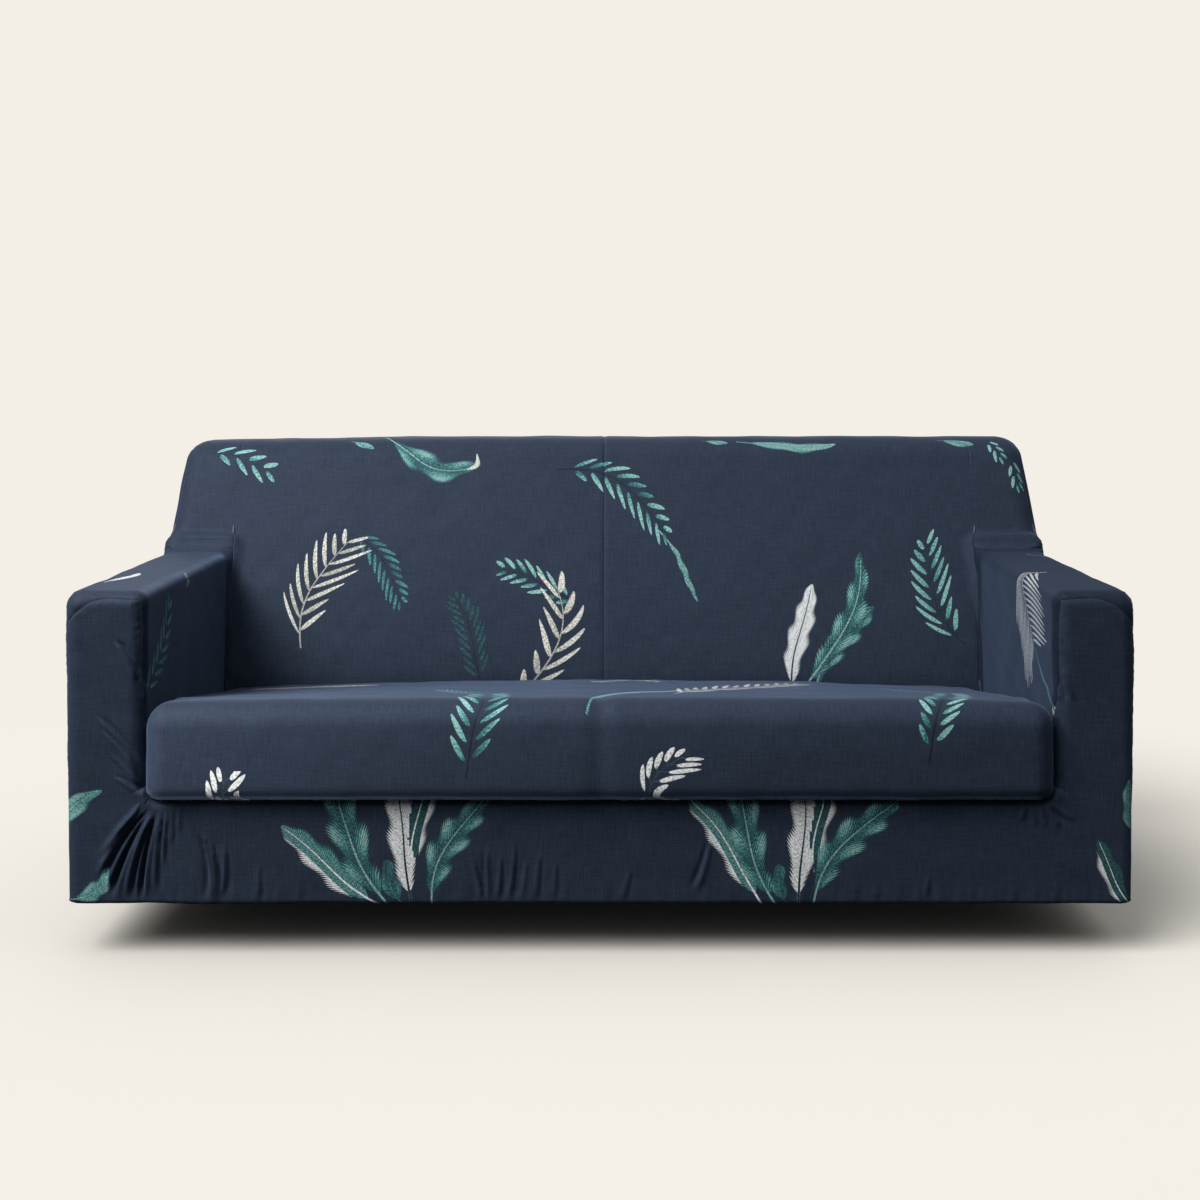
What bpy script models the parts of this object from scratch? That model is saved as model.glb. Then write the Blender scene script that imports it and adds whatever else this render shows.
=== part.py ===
"""Stretch slipcover for a two-seat sofa with track arms, in the shape it has when fitted.

Metres, +X right, +Y to the rear, +Z up. The tables measure y from the plane of the arm
fronts and z from the floor; the finished mesh is moved so that the origin is under the
cloth at the middle of the back's top, where the sofa holds the cover up.

The outer face of the cloth is one rounded form. Each panel is a grid of points laid near
that form between its seams, settled onto it, folded, and given the cloth's thickness
inwards. Panels that share a seam share its points, and each stands back half a gap.
"""

from functools import lru_cache

import bmesh
import bpy
import numpy as np

# Driving dimensions, all to the outer face of the cloth
HALF_WIDTH = 0.930
DEPTH = 0.880
HEM_HEIGHT = 0.090
ARM_WIDTH = 0.142
ARM_HEIGHT = 0.632
BACK_HEIGHT = 0.867
TUCK_HEIGHT = 0.266  # where the cloth is pushed in under the seat cushions
SEAT_HEIGHT = 0.449
SEAT_OVERHANG = 0.028  # of the seat's front past the arm fronts
SEAT_FALL = 0.125  # drop of the seat per metre towards the rear
SEAT_CROWN = 0.020
BACK_FOOT = 0.600  # the back's front face, at the height of the seat crease
BACK_LEAN = 0.150  # how much further back that face is at its top
BACK_TAPER = 0.025  # how much narrower each end is at the top
BACK_CROWN = 0.012
LEFT_END_DROP = 0.007  # the back's top sags a little towards its left end

# Rounding of the edges
ARM_EDGE = 0.028
ARM_INNER_EDGE = 0.022
BACK_FRONT_EDGE = 0.040
BACK_REAR_EDGE = 0.030
BACK_END_EDGE = 0.045
SEAT_TOP_EDGE = 0.045
SEAT_UNDER_EDGE = 0.020
SEAT_SIDE_EDGE = 0.040
BASE_EDGE = 0.012
HEM_EDGE = 0.008
COVE = 0.035  # where the cloth spans the corner between arm and back
SEAM_IN_COVE = 0.006  # the seam in that corner lies this far out from both faces
CORNER_COVE = 0.024  # and the corner between arm and base, below the seat's end
VALLEY = 0.004  # rounding at the bottom of a tuck
TUCK_OPEN = 0.008  # the tuck under the seat is this open at the arm fronts' plane,
TUCK_DEPTH = 0.022  # and closes this far behind it

# Cloth and seams
CLOTH = 0.002
SEAM_GAP = 0.0003
HEM_TURN = 0.025  # width of the hem turned under
HEM_START = 0.0085  # the hem's rounded edge starts this far from its corner,
HEM_MIDDLE = 0.0024  # and its middle is this far from both faces
REAR_SEAM_IN = 0.0088  # the seams down the rear edges lie this far from both faces
ARC_RADIUS = 0.083  # arc seam over the outer corner of each arm front
ARC_CENTRE_HEIGHT = 0.537
WELD = 0.00002

ARM_INNER = HALF_WIDTH - ARM_WIDTH
ARM_SEAM_HEIGHT = ARM_HEIGHT + SEAM_IN_COVE
SEAT_END = ARM_INNER - 0.001
CREASE_HEIGHT = SEAT_HEIGHT - SEAT_FALL * BACK_FOOT
MOUNT = np.array([0.0, DEPTH - 0.060, BACK_HEIGHT - CLOTH])
LEFT, RIGHT = -1, 1
ACROSS, REARWARD = (1, 0, 0), (0, 1, 0)
UPWARD, DOWNWARD = (0, 0, 1), (0, 0, -1)

# Folds of the cloth where it is pulled towards the corners of the seat. Each runs straight
# over the front between two points and is a soft ridge that fades at both ends.
FOLDS = (
    # x1, z1, x2, z2, half width, height
    (-0.783, 0.258, -0.880, 0.146, 0.011, 0.0075),
    (-0.776, 0.250, -0.850, 0.122, 0.010, 0.0065),
    (-0.770, 0.246, -0.812, 0.096, 0.012, 0.0080),
    (-0.758, 0.255, -0.782, 0.094, 0.011, 0.0070),
    (-0.740, 0.258, -0.747, 0.150, 0.009, 0.0040),
    (-0.679, 0.190, -0.684, 0.094, 0.009, 0.0040),
    (-0.652, 0.188, -0.646, 0.094, 0.009, 0.0045),
    (-0.838, 0.540, -0.800, 0.472, 0.012, 0.0045),
    (-0.862, 0.405, -0.812, 0.338, 0.014, 0.0040),
    (0.752, 0.258, 0.812, 0.226, 0.010, 0.0045),
    (0.742, 0.252, 0.770, 0.200, 0.010, 0.0040),
    (0.167, 0.202, 0.189, 0.108, 0.012, 0.0030),
    (-0.190, 0.185, -0.196, 0.098, 0.014, 0.0030),
)
FOLD_REACH = 0.05  # folds lie on the front, and end this far behind it

COLOURS = {
    "front_panel": (0.024, 0.033, 0.055),
    "seat_panel": (0.034, 0.046, 0.075),
    "back_panel_left": (0.030, 0.042, 0.068),
    "back_panel_right": (0.028, 0.040, 0.065),
    "arm_panel_left": (0.036, 0.048, 0.078),
    "arm_panel_right": (0.022, 0.030, 0.050),
    "rear_panel": (0.024, 0.033, 0.055),
}


# --- The form that the cloth takes -------------------------------------------------------


def meet(a, b, radius):
    """Inside both a and b, with the edge between their faces rounded."""
    edge = np.hypot(np.maximum(a + radius, 0), np.maximum(b + radius, 0))
    return np.minimum(np.maximum(a, b), -radius) + edge


def join(a, b, radius):
    """Inside a or b, with the valley between their faces rounded."""
    return -meet(-a, -b, radius)


def cove(distance, radius):
    """Rise of a concave quarter round at a distance from the wall it meets."""
    inside = np.clip(radius - distance, 0, radius)
    return radius - np.sqrt(radius**2 - inside**2)


def ease(value):
    value = np.clip(value, 0, 1)
    return value * value * (3 - 2 * value)


def back_face(x, z):
    """Depth of the back's front face: it leans back more towards its top."""
    rise = np.clip((z - CREASE_HEIGHT) / (BACK_HEIGHT - CREASE_HEIGHT), 0, 1.1)
    crown = BACK_CROWN * (1 - (x / HALF_WIDTH) ** 2)
    return BACK_FOOT + BACK_CROWN + BACK_LEAN * rise**1.5 - crown


def half_width(z):
    """Half the width of the back, which tapers above the arms."""
    rise = np.clip((z - ARM_SEAM_HEIGHT) / (BACK_HEIGHT - ARM_SEAM_HEIGHT), 0, 1.1)
    return HALF_WIDTH - BACK_TAPER * rise


def back_top(x):
    return BACK_HEIGHT - LEFT_END_DROP * ease((-x - 0.30) / 0.60)


def seat_top(x, y):
    """Height of the seat: it falls to the rear and to both ends."""
    crown = SEAT_CROWN * (x / ARM_INNER) ** 2 * (0.35 + 0.65 * ease(y / BACK_FOOT))
    trough = 0.004 * np.exp(-((x / 0.020) ** 2)) * (0.3 + 0.7 * ease((0.12 - y) / 0.12))
    return SEAT_HEIGHT - SEAT_FALL * np.maximum(y, 0) - crown - trough


def seat_front(x, z):
    """How far the seat's front stands out: a little more at its middle height."""
    middle = (TUCK_HEIGHT + SEAT_HEIGHT) / 2
    bulge = 0.006 * (1 - ((z - middle) / 0.09) ** 2) * (1 - (x / ARM_INNER) ** 4)
    return SEAT_OVERHANG + bulge - 0.003 * np.exp(-((x / 0.020) ** 2))


def seat_under(y):
    """Height of the seat's underside, which closes on the base inside the tuck."""
    return TUCK_HEIGHT + TUCK_OPEN * np.clip(1 - y / TUCK_DEPTH, 0, 1.6)


def form(points):
    """Below zero inside the covered sofa, zero on the outer face of the cloth."""
    x, y, z = points[..., 0], points[..., 1], points[..., 2]
    across = np.abs(x)
    rear = y - DEPTH
    sides = across - HALF_WIDTH
    plan = meet(meet(-y, sides, ARM_EDGE), rear, BACK_REAR_EDGE)

    to_back = back_face(x, ARM_HEIGHT) - y
    arm_top = z - ARM_HEIGHT - cove(to_back, COVE)
    spanned = ease((z - SEAT_HEIGHT) / (ARM_HEIGHT - SEAT_HEIGHT))
    arm_inner = ARM_INNER - across - spanned * cove(back_face(x, z) - y, COVE)
    arms = meet(meet(arm_top, arm_inner, ARM_INNER_EDGE), plan, ARM_EDGE)
    base_top = TUCK_HEIGHT + cove(ARM_INNER - across, CORNER_COVE)
    base = meet(z - base_top, plan, BASE_EDGE)

    back = meet(back_face(x, z) - y, z - back_top(x), BACK_FRONT_EDGE)
    back = meet(back, rear, BACK_REAR_EDGE)
    back = meet(back, across - half_width(z), BACK_END_EDGE)

    seat_plan = meet(-y - seat_front(x, z), across - SEAT_END, SEAT_SIDE_EDGE)
    seat_plan = np.maximum(seat_plan, y - back_face(x, z) + 0.001)
    seat = meet(seat_plan, seat_under(y) - z, SEAT_UNDER_EDGE)
    seat = meet(seat, z - seat_top(x, y), SEAT_TOP_EDGE)

    covered = np.minimum(np.minimum(arms, base), back)
    return meet(join(covered, seat, VALLEY), HEM_HEIGHT - z, HEM_EDGE)


def gradient(points):
    step = 0.0002
    parts = []
    for axis in range(3):
        shift = np.zeros(3)
        shift[axis] = step
        parts.append((form(points + shift) - form(points - shift)) / (2 * step))
    return np.stack(parts, axis=-1)


def settle(points):
    """Moves points square onto the form."""
    points = np.array(points, float)
    for _ in range(24):
        slope = gradient(points)
        size = np.maximum((slope**2).sum(-1, keepdims=True), 0.3)
        points = points - form(points)[..., None] * slope / size
    return points


creases = set()
agreed_normals = {}  # where the arm front's and the arm's cloth enter a crease together


def march(points, way):
    """Moves points along one way until they meet the form."""
    points = np.array(points, float)
    way = np.array(way, float)
    for _ in range(240):
        points = points + 0.9 * np.maximum(form(points), 0)[..., None] * way
    return points


def deepest(points, way, across, reach):
    """The bottom of the tuck or crease that each point looks into.

    It tries places to both sides of the point, and keeps the one that lies furthest in.
    """
    points = np.array(points, float)
    offsets = np.linspace(-reach, reach, 61)[:, None] * np.array(across, float)
    tried = march(points[None] + offsets[:, None], way)
    best = np.argmax(tried @ np.array(way, float), axis=0)
    return as_crease(tried[best, np.arange(len(points))])


def place(point):
    """A point rounded off, to find it again in the panels that share it."""
    return tuple(np.round(point / WELD).astype(int))


def as_crease(points):
    """Notes that the cloth on each side of these points leaves them its own way."""
    creases.update(place(point) for point in points)
    return points


def outward(points):
    slope = gradient(points)
    return slope / np.maximum(np.linalg.norm(slope, axis=-1, keepdims=True), 1e-9)


def fold_height(points):
    """Height of the folds at points on the form."""
    x, y, z = points[..., 0], points[..., 1], points[..., 2]
    total = np.zeros(x.shape)
    for x1, z1, x2, z2, half, height in FOLDS:
        run = np.hypot(x2 - x1, z2 - z1)
        along = ((x - x1) * (x2 - x1) + (z - z1) * (z2 - z1)) / run
        off = ((x - x1) * (z2 - z1) - (z - z1) * (x2 - x1)) / run
        fade = ease(along / (0.35 * run)) * ease((run - along) / (0.15 * run) + 0.6)
        total += height * fade * np.exp(-((off / half) ** 2))
    return total * ease((FOLD_REACH - y) / FOLD_REACH) * (z < ARM_HEIGHT - 0.01)


# --- Grids of points between seams -------------------------------------------------------


def line(*stops):
    """Points through (point, steps) stops, straight between them."""
    points = [np.array(stops[0][0], float)]
    for point, steps in stops[1:]:
        start, end = points[-1], np.array(point, float)
        points += [start + (end - start) * k / steps for k in range(1, steps + 1)]
    return np.array(points)


def between(first, last, shares):
    """A grid of rows from the first line to the last, at the given shares of the way."""
    shares = np.asarray(shares)[:, None, None]
    return first[None] * (1 - shares) + last[None] * shares


def patch(bottom, top, left, right):
    """A grid that fills four border lines; bottom and top run from left to right."""
    u = np.linspace(0, 1, len(bottom))[None, :, None]
    v = np.linspace(0, 1, len(left))[:, None, None]
    ruled_v = bottom[None] * (1 - v) + top[None] * v
    ruled_u = left[:, None] * (1 - u) + right[:, None] * u
    low = bottom[0] * (1 - u) + bottom[-1] * u
    high = top[0] * (1 - u) + top[-1] * u
    return ruled_v + ruled_u - low * (1 - v) - high * v


# Rows of the seat, front to rear: (y, z) over the cushion, the same row's y or z at its
# ends, where the cloth is pushed in beside the arm, and how steeply it is looked for from
# outside, from 0 for straight from the front to 1 for straight from above.
SEAT_ROWS = (
    # y, z, end y, end z, steepness
    (0.012, 0.268, None, 0.274, 0),
    (-0.004, 0.275, None, 0.285, 0),
    (-0.020, 0.281, None, 0.295, 0),
    (-0.029, 0.296, None, 0.308, 0),
    (-0.033, 0.328, None, 0.330, 0),
    (-0.034, 0.366, None, 0.358, 0),
    (-0.030, 0.402, None, 0.380, 0),
    (-0.017, 0.434, 0.024, None, 0.45),
    (0.006, 0.447, 0.036, None, 0.85),
    (0.045, None, 0.058, None, 1),
    (0.130, None, 0.130, None, 1),
    (0.250, None, 0.250, None, 1),
    (0.370, None, 0.370, None, 1),
    (0.480, None, 0.480, None, 1),
    (0.545, None, 0.548, None, 1),
    (0.575, None, 0.578, None, 1),
    (0.599, None, 0.600, None, 1),
)
FRONT_ROWS = 7  # rows of the seat that lie on its front, below the arm's inner edge

# Columns across the seat, as distances from its centre line
SEAT_COLUMNS = (
    *(0.0, 0.018, 0.045, 0.13, 0.25, 0.37, 0.49, 0.60),
    *(0.68, 0.725, 0.750, 0.766, 0.777),
)
FOLD_COLUMNS = {
    LEFT: (0.637, 0.649, 0.663, 0.676, 0.692, 0.704, 0.715, 0.738, 0.759),
    RIGHT: (0.167, 0.180, 0.192, 0.738, 0.759),
}
ARM_STEPS = {LEFT: 10, RIGHT: 7}  # columns across each arm, more where it is folded

# Rows of the front panel below the tuck, (y, z)
HEM_ROWS = (
    (HEM_TURN, HEM_HEIGHT),
    (HEM_START, HEM_HEIGHT),
    (HEM_MIDDLE, HEM_HEIGHT + HEM_MIDDLE),
    (0.0, HEM_HEIGHT + HEM_START),
)
APRON_HEIGHTS = (0.115, 0.132, 0.150, 0.168, 0.187, 0.206, 0.224, 0.240)
TUCK_ROWS = ((0.0, 0.252), (0.0035, 0.2625))

# The seam up the inner edge of an arm front: (height, degrees round the edge)
ARM_FRONT_ABOVE_SEAT = ((0.420, 22), (0.447, 40), (0.490, 45), (0.540, 45), (0.582, 45))
BACK_ROWS_ABOVE_ARM = (0.690, 0.750, 0.800, 0.828)
REAR_HEIGHTS = (0.520, 0.400, 0.290, 0.190, 0.125)


def mirrored(points, side):
    points = np.array(points, float)
    points[..., 0] *= side
    return points


@lru_cache
def seat_line(x, side):
    """The seat's rows at a distance from the centre line."""
    near_end = ease((x - SEAT_END + SEAT_TOP_EDGE) / SEAT_TOP_EDGE)
    line_points = []
    for y, z, end_y, end_z, steepness in SEAT_ROWS:
        height = seat_top(x, y) if z is None else z
        if end_y is None:
            height += near_end * (end_z - height)
            found = settle(mirrored([(x, y, height)], side))
        else:
            steep = steepness + near_end * (1 - steepness)
            way = np.array([0, 1 - steep, -steep])
            way /= np.linalg.norm(way)
            start = np.array([x, y + near_end * (end_y - y), height]) - 0.06 * way
            found = march(mirrored([start], side), way)
        line_points.append(found[0])
    tuck = mirrored([(x, -0.060, TUCK_HEIGHT + 0.004)], side)
    line_points[0] = deepest(tuck, REARWARD, UPWARD, 0.010)[0]
    crease = mirrored([(x, back_face(x, CREASE_HEIGHT) - 0.010, ARM_HEIGHT)], side)
    line_points[-1] = deepest(crease, DOWNWARD, REARWARD, 0.0095)[0]
    return np.array(line_points)


@lru_cache
def seat_end_line(side):
    """The seat's rows at its end: the seam with the front panel and then with the arm."""
    front = [(SEAT_END, -0.060, row[3]) for row in SEAT_ROWS[:FRONT_ROWS]]
    front = deepest(mirrored(front, side), REARWARD, ACROSS, 0.012)
    tuck = mirrored([(SEAT_END - 0.004, -0.060, SEAT_ROWS[0][3])], side)
    front[0] = deepest(tuck, REARWARD, UPWARD, 0.010)[0]
    top = [(SEAT_END - 0.010, row[2], ARM_HEIGHT) for row in SEAT_ROWS[FRONT_ROWS:]]
    top = deepest(mirrored(top, side), DOWNWARD, ACROSS, 0.0095)
    agreed_normals[place(top[0])] = np.array([-0.99 * side, -0.14, 0.0])
    return np.vstack([front, top])


@lru_cache
def seat_grid():
    """Rows from front to rear, columns from the left end to the right."""
    lines = [seat_end_line(LEFT)]
    lines += [seat_line(x, LEFT) for x in SEAT_COLUMNS[:0:-1]]
    lines += [seat_line(x, RIGHT) for x in SEAT_COLUMNS]
    lines += [seat_end_line(RIGHT)]
    return np.stack(lines, axis=1)


def lower_rows():
    """(y, z) of the front's rows from the hem's inner edge to the tuck."""
    flat = tuple((0.0, z) for z in APRON_HEIGHTS)
    return HEM_ROWS + flat + TUCK_ROWS


def front_columns(side):
    return sorted(SEAT_COLUMNS + FOLD_COLUMNS[side])


def apron_grid():
    """The front below the tuck, from one arm's inner edge to the other's."""
    columns = [-x for x in front_columns(LEFT)[:0:-1]] + front_columns(RIGHT)
    rows = []
    for y, z in lower_rows():
        ends = [(LEFT * SEAT_END, y, z)], [(RIGHT * SEAT_END, y, z)]
        rows.append(ends[0] + [(x, y, z) for x in columns] + ends[1])
    grid = settle(rows)
    seam = seat_grid()[0]
    across = grid[0, :, 0]
    tuck = np.stack([np.interp(across, seam[:, 0], seam[:, k]) for k in range(3)], axis=-1)
    tuck[0], tuck[-1] = seam[0], seam[-1]
    return np.concatenate([grid, as_crease(tuck)[None]])


def arc_point(degrees):
    """A point of the arc seam, from 0 degrees at the arm's side to 90 on its top edge."""
    angle = np.radians(degrees)
    x = HALF_WIDTH - ARC_RADIUS + ARC_RADIUS * np.cos(angle)
    z = ARC_CENTRE_HEIGHT + ARC_RADIUS * np.sin(angle)
    return (x, ARM_EDGE * (1 - np.sin(angle)) * np.cos(angle) + 0.005 * np.sin(angle), z)


@lru_cache
def arm_front_borders(side):
    """The borders of an arm front above the tuck: bottom, top, inner and outer."""
    steps = ARM_STEPS[side]
    inner_seat = seat_end_line(side)[: FRONT_ROWS + 1]
    inner_above = []
    for z, degrees in ARM_FRONT_ABOVE_SEAT:
        angle = np.radians(degrees)
        x = ARM_INNER + ARM_EDGE * (1 - np.cos(angle))
        inner_above.append((x, ARM_EDGE * (1 - np.sin(angle)), z))
    corner = (ARM_INNER + 0.010, 0.006, ARC_CENTRE_HEIGHT + ARC_RADIUS - 0.004)
    inner = np.vstack([inner_seat, settle(mirrored(inner_above + [corner], side))])

    arc_steps = steps // 2
    straight = line(
        (corner, 1), ((HALF_WIDTH - ARC_RADIUS, 0.005, arc_point(90)[2]), steps - arc_steps)
    )
    arc = [arc_point(90 - 45 * k / arc_steps) for k in range(1, arc_steps + 1)]
    top = settle(mirrored(np.vstack([straight, arc]), side))

    rows = len(inner) - 1
    upright = line(
        ((HALF_WIDTH, ARM_EDGE, TUCK_HEIGHT), 1),
        ((HALF_WIDTH, ARM_EDGE, ARC_CENTRE_HEIGHT), rows - 3),
    )
    arc = [arc_point(degrees) for degrees in (14, 29, 45)]
    outer = settle(mirrored(np.vstack([upright, arc]), side))
    outer[-1] = top[-1]
    top[0] = inner[-1]

    ends = line(((ARM_INNER, 0, TUCK_HEIGHT), 1), ((HALF_WIDTH, 0, TUCK_HEIGHT), steps))
    bottom = settle(mirrored(ends, side))
    bottom[0], bottom[-1] = inner[0], outer[0]
    return bottom, top, inner, outer


def arm_front_grid(side):
    bottom, top, inner, outer = arm_front_borders(side)
    grid = patch(bottom, top, inner, outer)
    grid[1:-1, 1:-1, 1] = -0.060
    grid[1:-1, 1:-1] = march(grid[1:-1, 1:-1], REARWARD)
    return grid


@lru_cache
def arm_foot_grid(side):
    """The front below an arm front, from the apron's end to the seam at the side."""
    bottom, _, _, _ = arm_front_borders(side)
    outer_y = (HEM_TURN, 0.0278, ARM_EDGE, ARM_EDGE)
    outer_x = [HALF_WIDTH - inward for inward in (HEM_TURN, HEM_START, HEM_MIDDLE, 0)]
    rows = []
    share = np.linspace(0, 1, len(bottom))
    for number, (y, z) in enumerate(lower_rows()):
        end_x = outer_x[number] if number < len(HEM_ROWS) else HALF_WIDTH
        end_y = outer_y[number] if number < len(HEM_ROWS) else ARM_EDGE
        x = SEAT_END + (end_x - SEAT_END) * share
        row = np.stack([x, np.full(len(x), y), np.full(len(x), z)], axis=1)
        row[-1] = (end_x, end_y, z)
        rows.append(row)
    grid = settle(mirrored(rows, side))
    return np.concatenate([grid, bottom[None]])


@lru_cache
def arm_rear_line(side):
    """The seam in the corner of arm and back: up from the seat, then out over the arm."""
    above = len(ARM_FRONT_ABOVE_SEAT) + 1
    steps = ARM_STEPS[side]
    crease = seat_end_line(side)[-1]
    heights = np.linspace(crease[2], ARM_SEAM_HEIGHT, above + 1)[1:]
    inner = [(ARM_INNER - SEAM_IN_COVE, BACK_FOOT - COVE, z) for z in heights]
    share = np.linspace(0, 1, steps + 1)[1:]
    wide = HALF_WIDTH - ARM_INNER + SEAM_IN_COVE - 0.0005
    across = ARM_INNER - SEAM_IN_COVE + wide * ease(share / 2) * 2
    top = [(x, BACK_FOOT - COVE, ARM_SEAM_HEIGHT) for x in across]
    start = march(mirrored(inner + top, side), REARWARD)
    return np.vstack([crease[None], start])


@lru_cache
def arm_grids(side):
    """The arm's cloth in front of the back's face, and the outer side behind it."""
    _, top, inner, outer = arm_front_borders(side)
    foot = arm_foot_grid(side)
    front = np.vstack([inner[FRONT_ROWS:], top[1:], outer[-2::-1], foot[-2::-1, -1]])
    start = arm_rear_line(side)
    below = front[len(start) :]
    turn = len(start) - 1
    split = start[turn][1]

    side_split = below.copy()
    side_split[:, 1] = split
    middle = np.vstack([start, settle(side_split)])
    seat_y = seat_end_line(side)[FRONT_ROWS:, 1]
    shares = (seat_y - seat_y[0]) / (seat_y[-1] - seat_y[0])
    grid = between(front, middle, shares)
    grid[1:-1, 1:] = settle(grid[1:-1, 1:])
    grid[:, 0] = seat_end_line(side)[FRONT_ROWS:]
    flat = grid[1:-1, -1]
    flat[:, 0] = side * (HALF_WIDTH - HEM_TURN)
    flat[:, 2] = HEM_HEIGHT

    rear = below.copy()
    rear[:, 0] = side * (HALF_WIDTH - REAR_SEAM_IN)
    rear[:, 1] = DEPTH - REAR_SEAM_IN
    rear = np.vstack([end_flap_grid(side)[0, -1:], settle(rear)])
    rear[-1] = (side * (HALF_WIDTH - HEM_TURN), DEPTH - HEM_TURN, HEM_HEIGHT)
    flap_row = end_flap_grid(side)[0]
    shares = (flap_row[:, 1] - flap_row[0, 1]) / (flap_row[-1, 1] - flap_row[0, 1])
    behind = between(middle[turn:], rear, shares)
    behind[1:-1, 1:-1] = settle(behind[1:-1, 1:-1])
    behind[:, 0] = flap_row
    return grid, behind


@lru_cache
def back_end_line(side):
    """The seam round the back's end: up its front edge, over, and along its top edge."""
    corner_z = BACK_HEIGHT - 0.018
    top_y = back_face(HALF_WIDTH, BACK_HEIGHT) + 0.045
    points = [
        (half_width(z) - 0.008, back_face(HALF_WIDTH, z) + 0.016, z)
        for z in BACK_ROWS_ABOVE_ARM[:-1]
    ]
    points += [
        (half_width(0.83) - 0.009, back_face(HALF_WIDTH, 0.83) + 0.020, 0.826),
        (half_width(0.85) - 0.012, back_face(HALF_WIDTH, 0.85) + 0.030, 0.842),
        (half_width(0.86) - 0.013, top_y, corner_z + 0.004),
    ]
    points += [(half_width(0.86) - 0.013, y, corner_z + 0.005) for y in (0.825, 0.850)]
    points += [(half_width(0.86) - 0.016, DEPTH - 0.012, corner_z + 0.002)]
    return settle(mirrored(points, side))


@lru_cache
def end_flap_grid(side):
    """The end of the back above the arm: rows upwards, columns to the rear."""
    seam = back_end_line(side)
    rows = len(BACK_ROWS_ABOVE_ARM)
    front = seam[:rows]
    top = seam[rows - 1 :]
    columns = len(top)
    level = ARM_SEAM_HEIGHT
    first = arm_rear_line(side)[-1]
    rear_x, rear_y = HALF_WIDTH - REAR_SEAM_IN, DEPTH - REAR_SEAM_IN
    rear = [(rear_x, rear_y, level)]
    rear += [(half_width(z) - REAR_SEAM_IN, rear_y, z) for z in BACK_ROWS_ABOVE_ARM[:-1]]
    rear = np.vstack([settle(mirrored(rear, side)), top[-1:]])
    ends = line((mirrored(first, side), 1), ((rear_x, rear_y, level), columns - 1))
    bottom = settle(mirrored(ends, side))
    bottom[0], bottom[-1] = first, rear[0]
    left = np.vstack([first[None], front])
    grid = patch(bottom, top, left, rear)
    grid[1:-1, 1:-1] = settle(grid[1:-1, 1:-1])
    return grid


def back_line(x, side):
    """The back's rows at a distance from the centre line, from the crease to the rear."""
    crease = seat_line(x, side)[-1]
    above = len(ARM_FRONT_ABOVE_SEAT) + 1
    heights = np.linspace(crease[2], ARM_SEAM_HEIGHT, above + 1)[1:]
    rows = [(x, back_face(x, z), z) for z in heights] + upper_back_rows(x)
    return np.vstack([crease[None], settle(mirrored(rows, side))])


def upper_back_rows(x):
    """The back's rows above the arms, as far as its rear top edge."""
    rows = [(x, back_face(x, z), z) for z in BACK_ROWS_ABOVE_ARM[:-1]]
    rows += [(x, back_face(x, 0.84) + 0.001, 0.840), (x, back_face(x, 0.86) + 0.010, 0.860)]
    rows += [(x, back_face(x, BACK_HEIGHT) + 0.040, BACK_HEIGHT)]
    rows += [(x, 0.825, BACK_HEIGHT), (x, 0.850, BACK_HEIGHT)]
    rows += [(x, DEPTH - REAR_SEAM_IN, BACK_HEIGHT - REAR_SEAM_IN)]
    return rows


@lru_cache
def back_grids(side):
    """The half back between the arms, and its part above the arm."""
    lines = [back_line(x, side) for x in SEAT_COLUMNS]
    inner, _ = arm_grids(side)
    corner = inner[-1, : len(ARM_FRONT_ABOVE_SEAT) + 2]
    over_arm = settle(mirrored(upper_back_rows(ARM_INNER), side))
    lines.append(np.vstack([corner, over_arm]))
    between_arms = np.stack(lines, axis=1)

    crease = inner[-1, len(ARM_FRONT_ABOVE_SEAT) + 1 :][: ARM_STEPS[side] + 1]
    end = np.vstack([crease[-1:], back_end_line(side)])
    start = lines[-1][len(ARM_FRONT_ABOVE_SEAT) + 1 :]
    outer = (HALF_WIDTH - BACK_TAPER) - 0.030
    share = np.linspace(0, 1, ARM_STEPS[side] + 1)
    top = [upper_back_rows(ARM_INNER + (outer - ARM_INNER) * s)[-1] for s in share]
    top = settle(mirrored(top, side))
    top[0], top[-1] = start[-1], end[-1]
    above_arm = patch(crease, top, start, end)
    above_arm[1:-1, 1:-1] = settle(above_arm[1:-1, 1:-1])
    return between_arms, above_arm


def rear_grid():
    """The outside back: rows from its top seam down, columns from left to right."""
    tops = []
    for side in (LEFT, RIGHT):
        between_arms, above_arm = back_grids(side)
        half = np.vstack([between_arms[-1], above_arm[-1, 1:]])
        tops.append(half[:0:-1] if side == LEFT else half)
    top = np.vstack(tops)
    ends = []
    for side in (LEFT, RIGHT):
        flap = end_flap_grid(side)[::-1, -1]
        lower = [(HALF_WIDTH - REAR_SEAM_IN, DEPTH - REAR_SEAM_IN, z) for z in REAR_HEIGHTS]
        _, behind_arm = arm_grids(side)
        hem = behind_arm[-1, -len(HEM_ROWS) :]
        ends.append(np.vstack([flap, settle(mirrored(lower, side)), hem]))
    left, right = ends
    share = (top[:, :1] - top[0, 0]) / (top[-1, 0] - top[0, 0])
    bottom = left[-1] * (1 - share) + right[-1] * share
    grid = left[:, None] * (1 - share) + right[:, None] * share
    grid[0], grid[-1] = top, bottom
    for row, inward in ((-4, 0), (-3, HEM_MIDDLE), (-2, HEM_START)):
        grid[row, 1:-1, 1] = DEPTH - inward
    grid[1:-1, 1:-1] = settle(grid[1:-1, 1:-1])
    return grid


# --- From grids to panels ----------------------------------------------------------------


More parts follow.
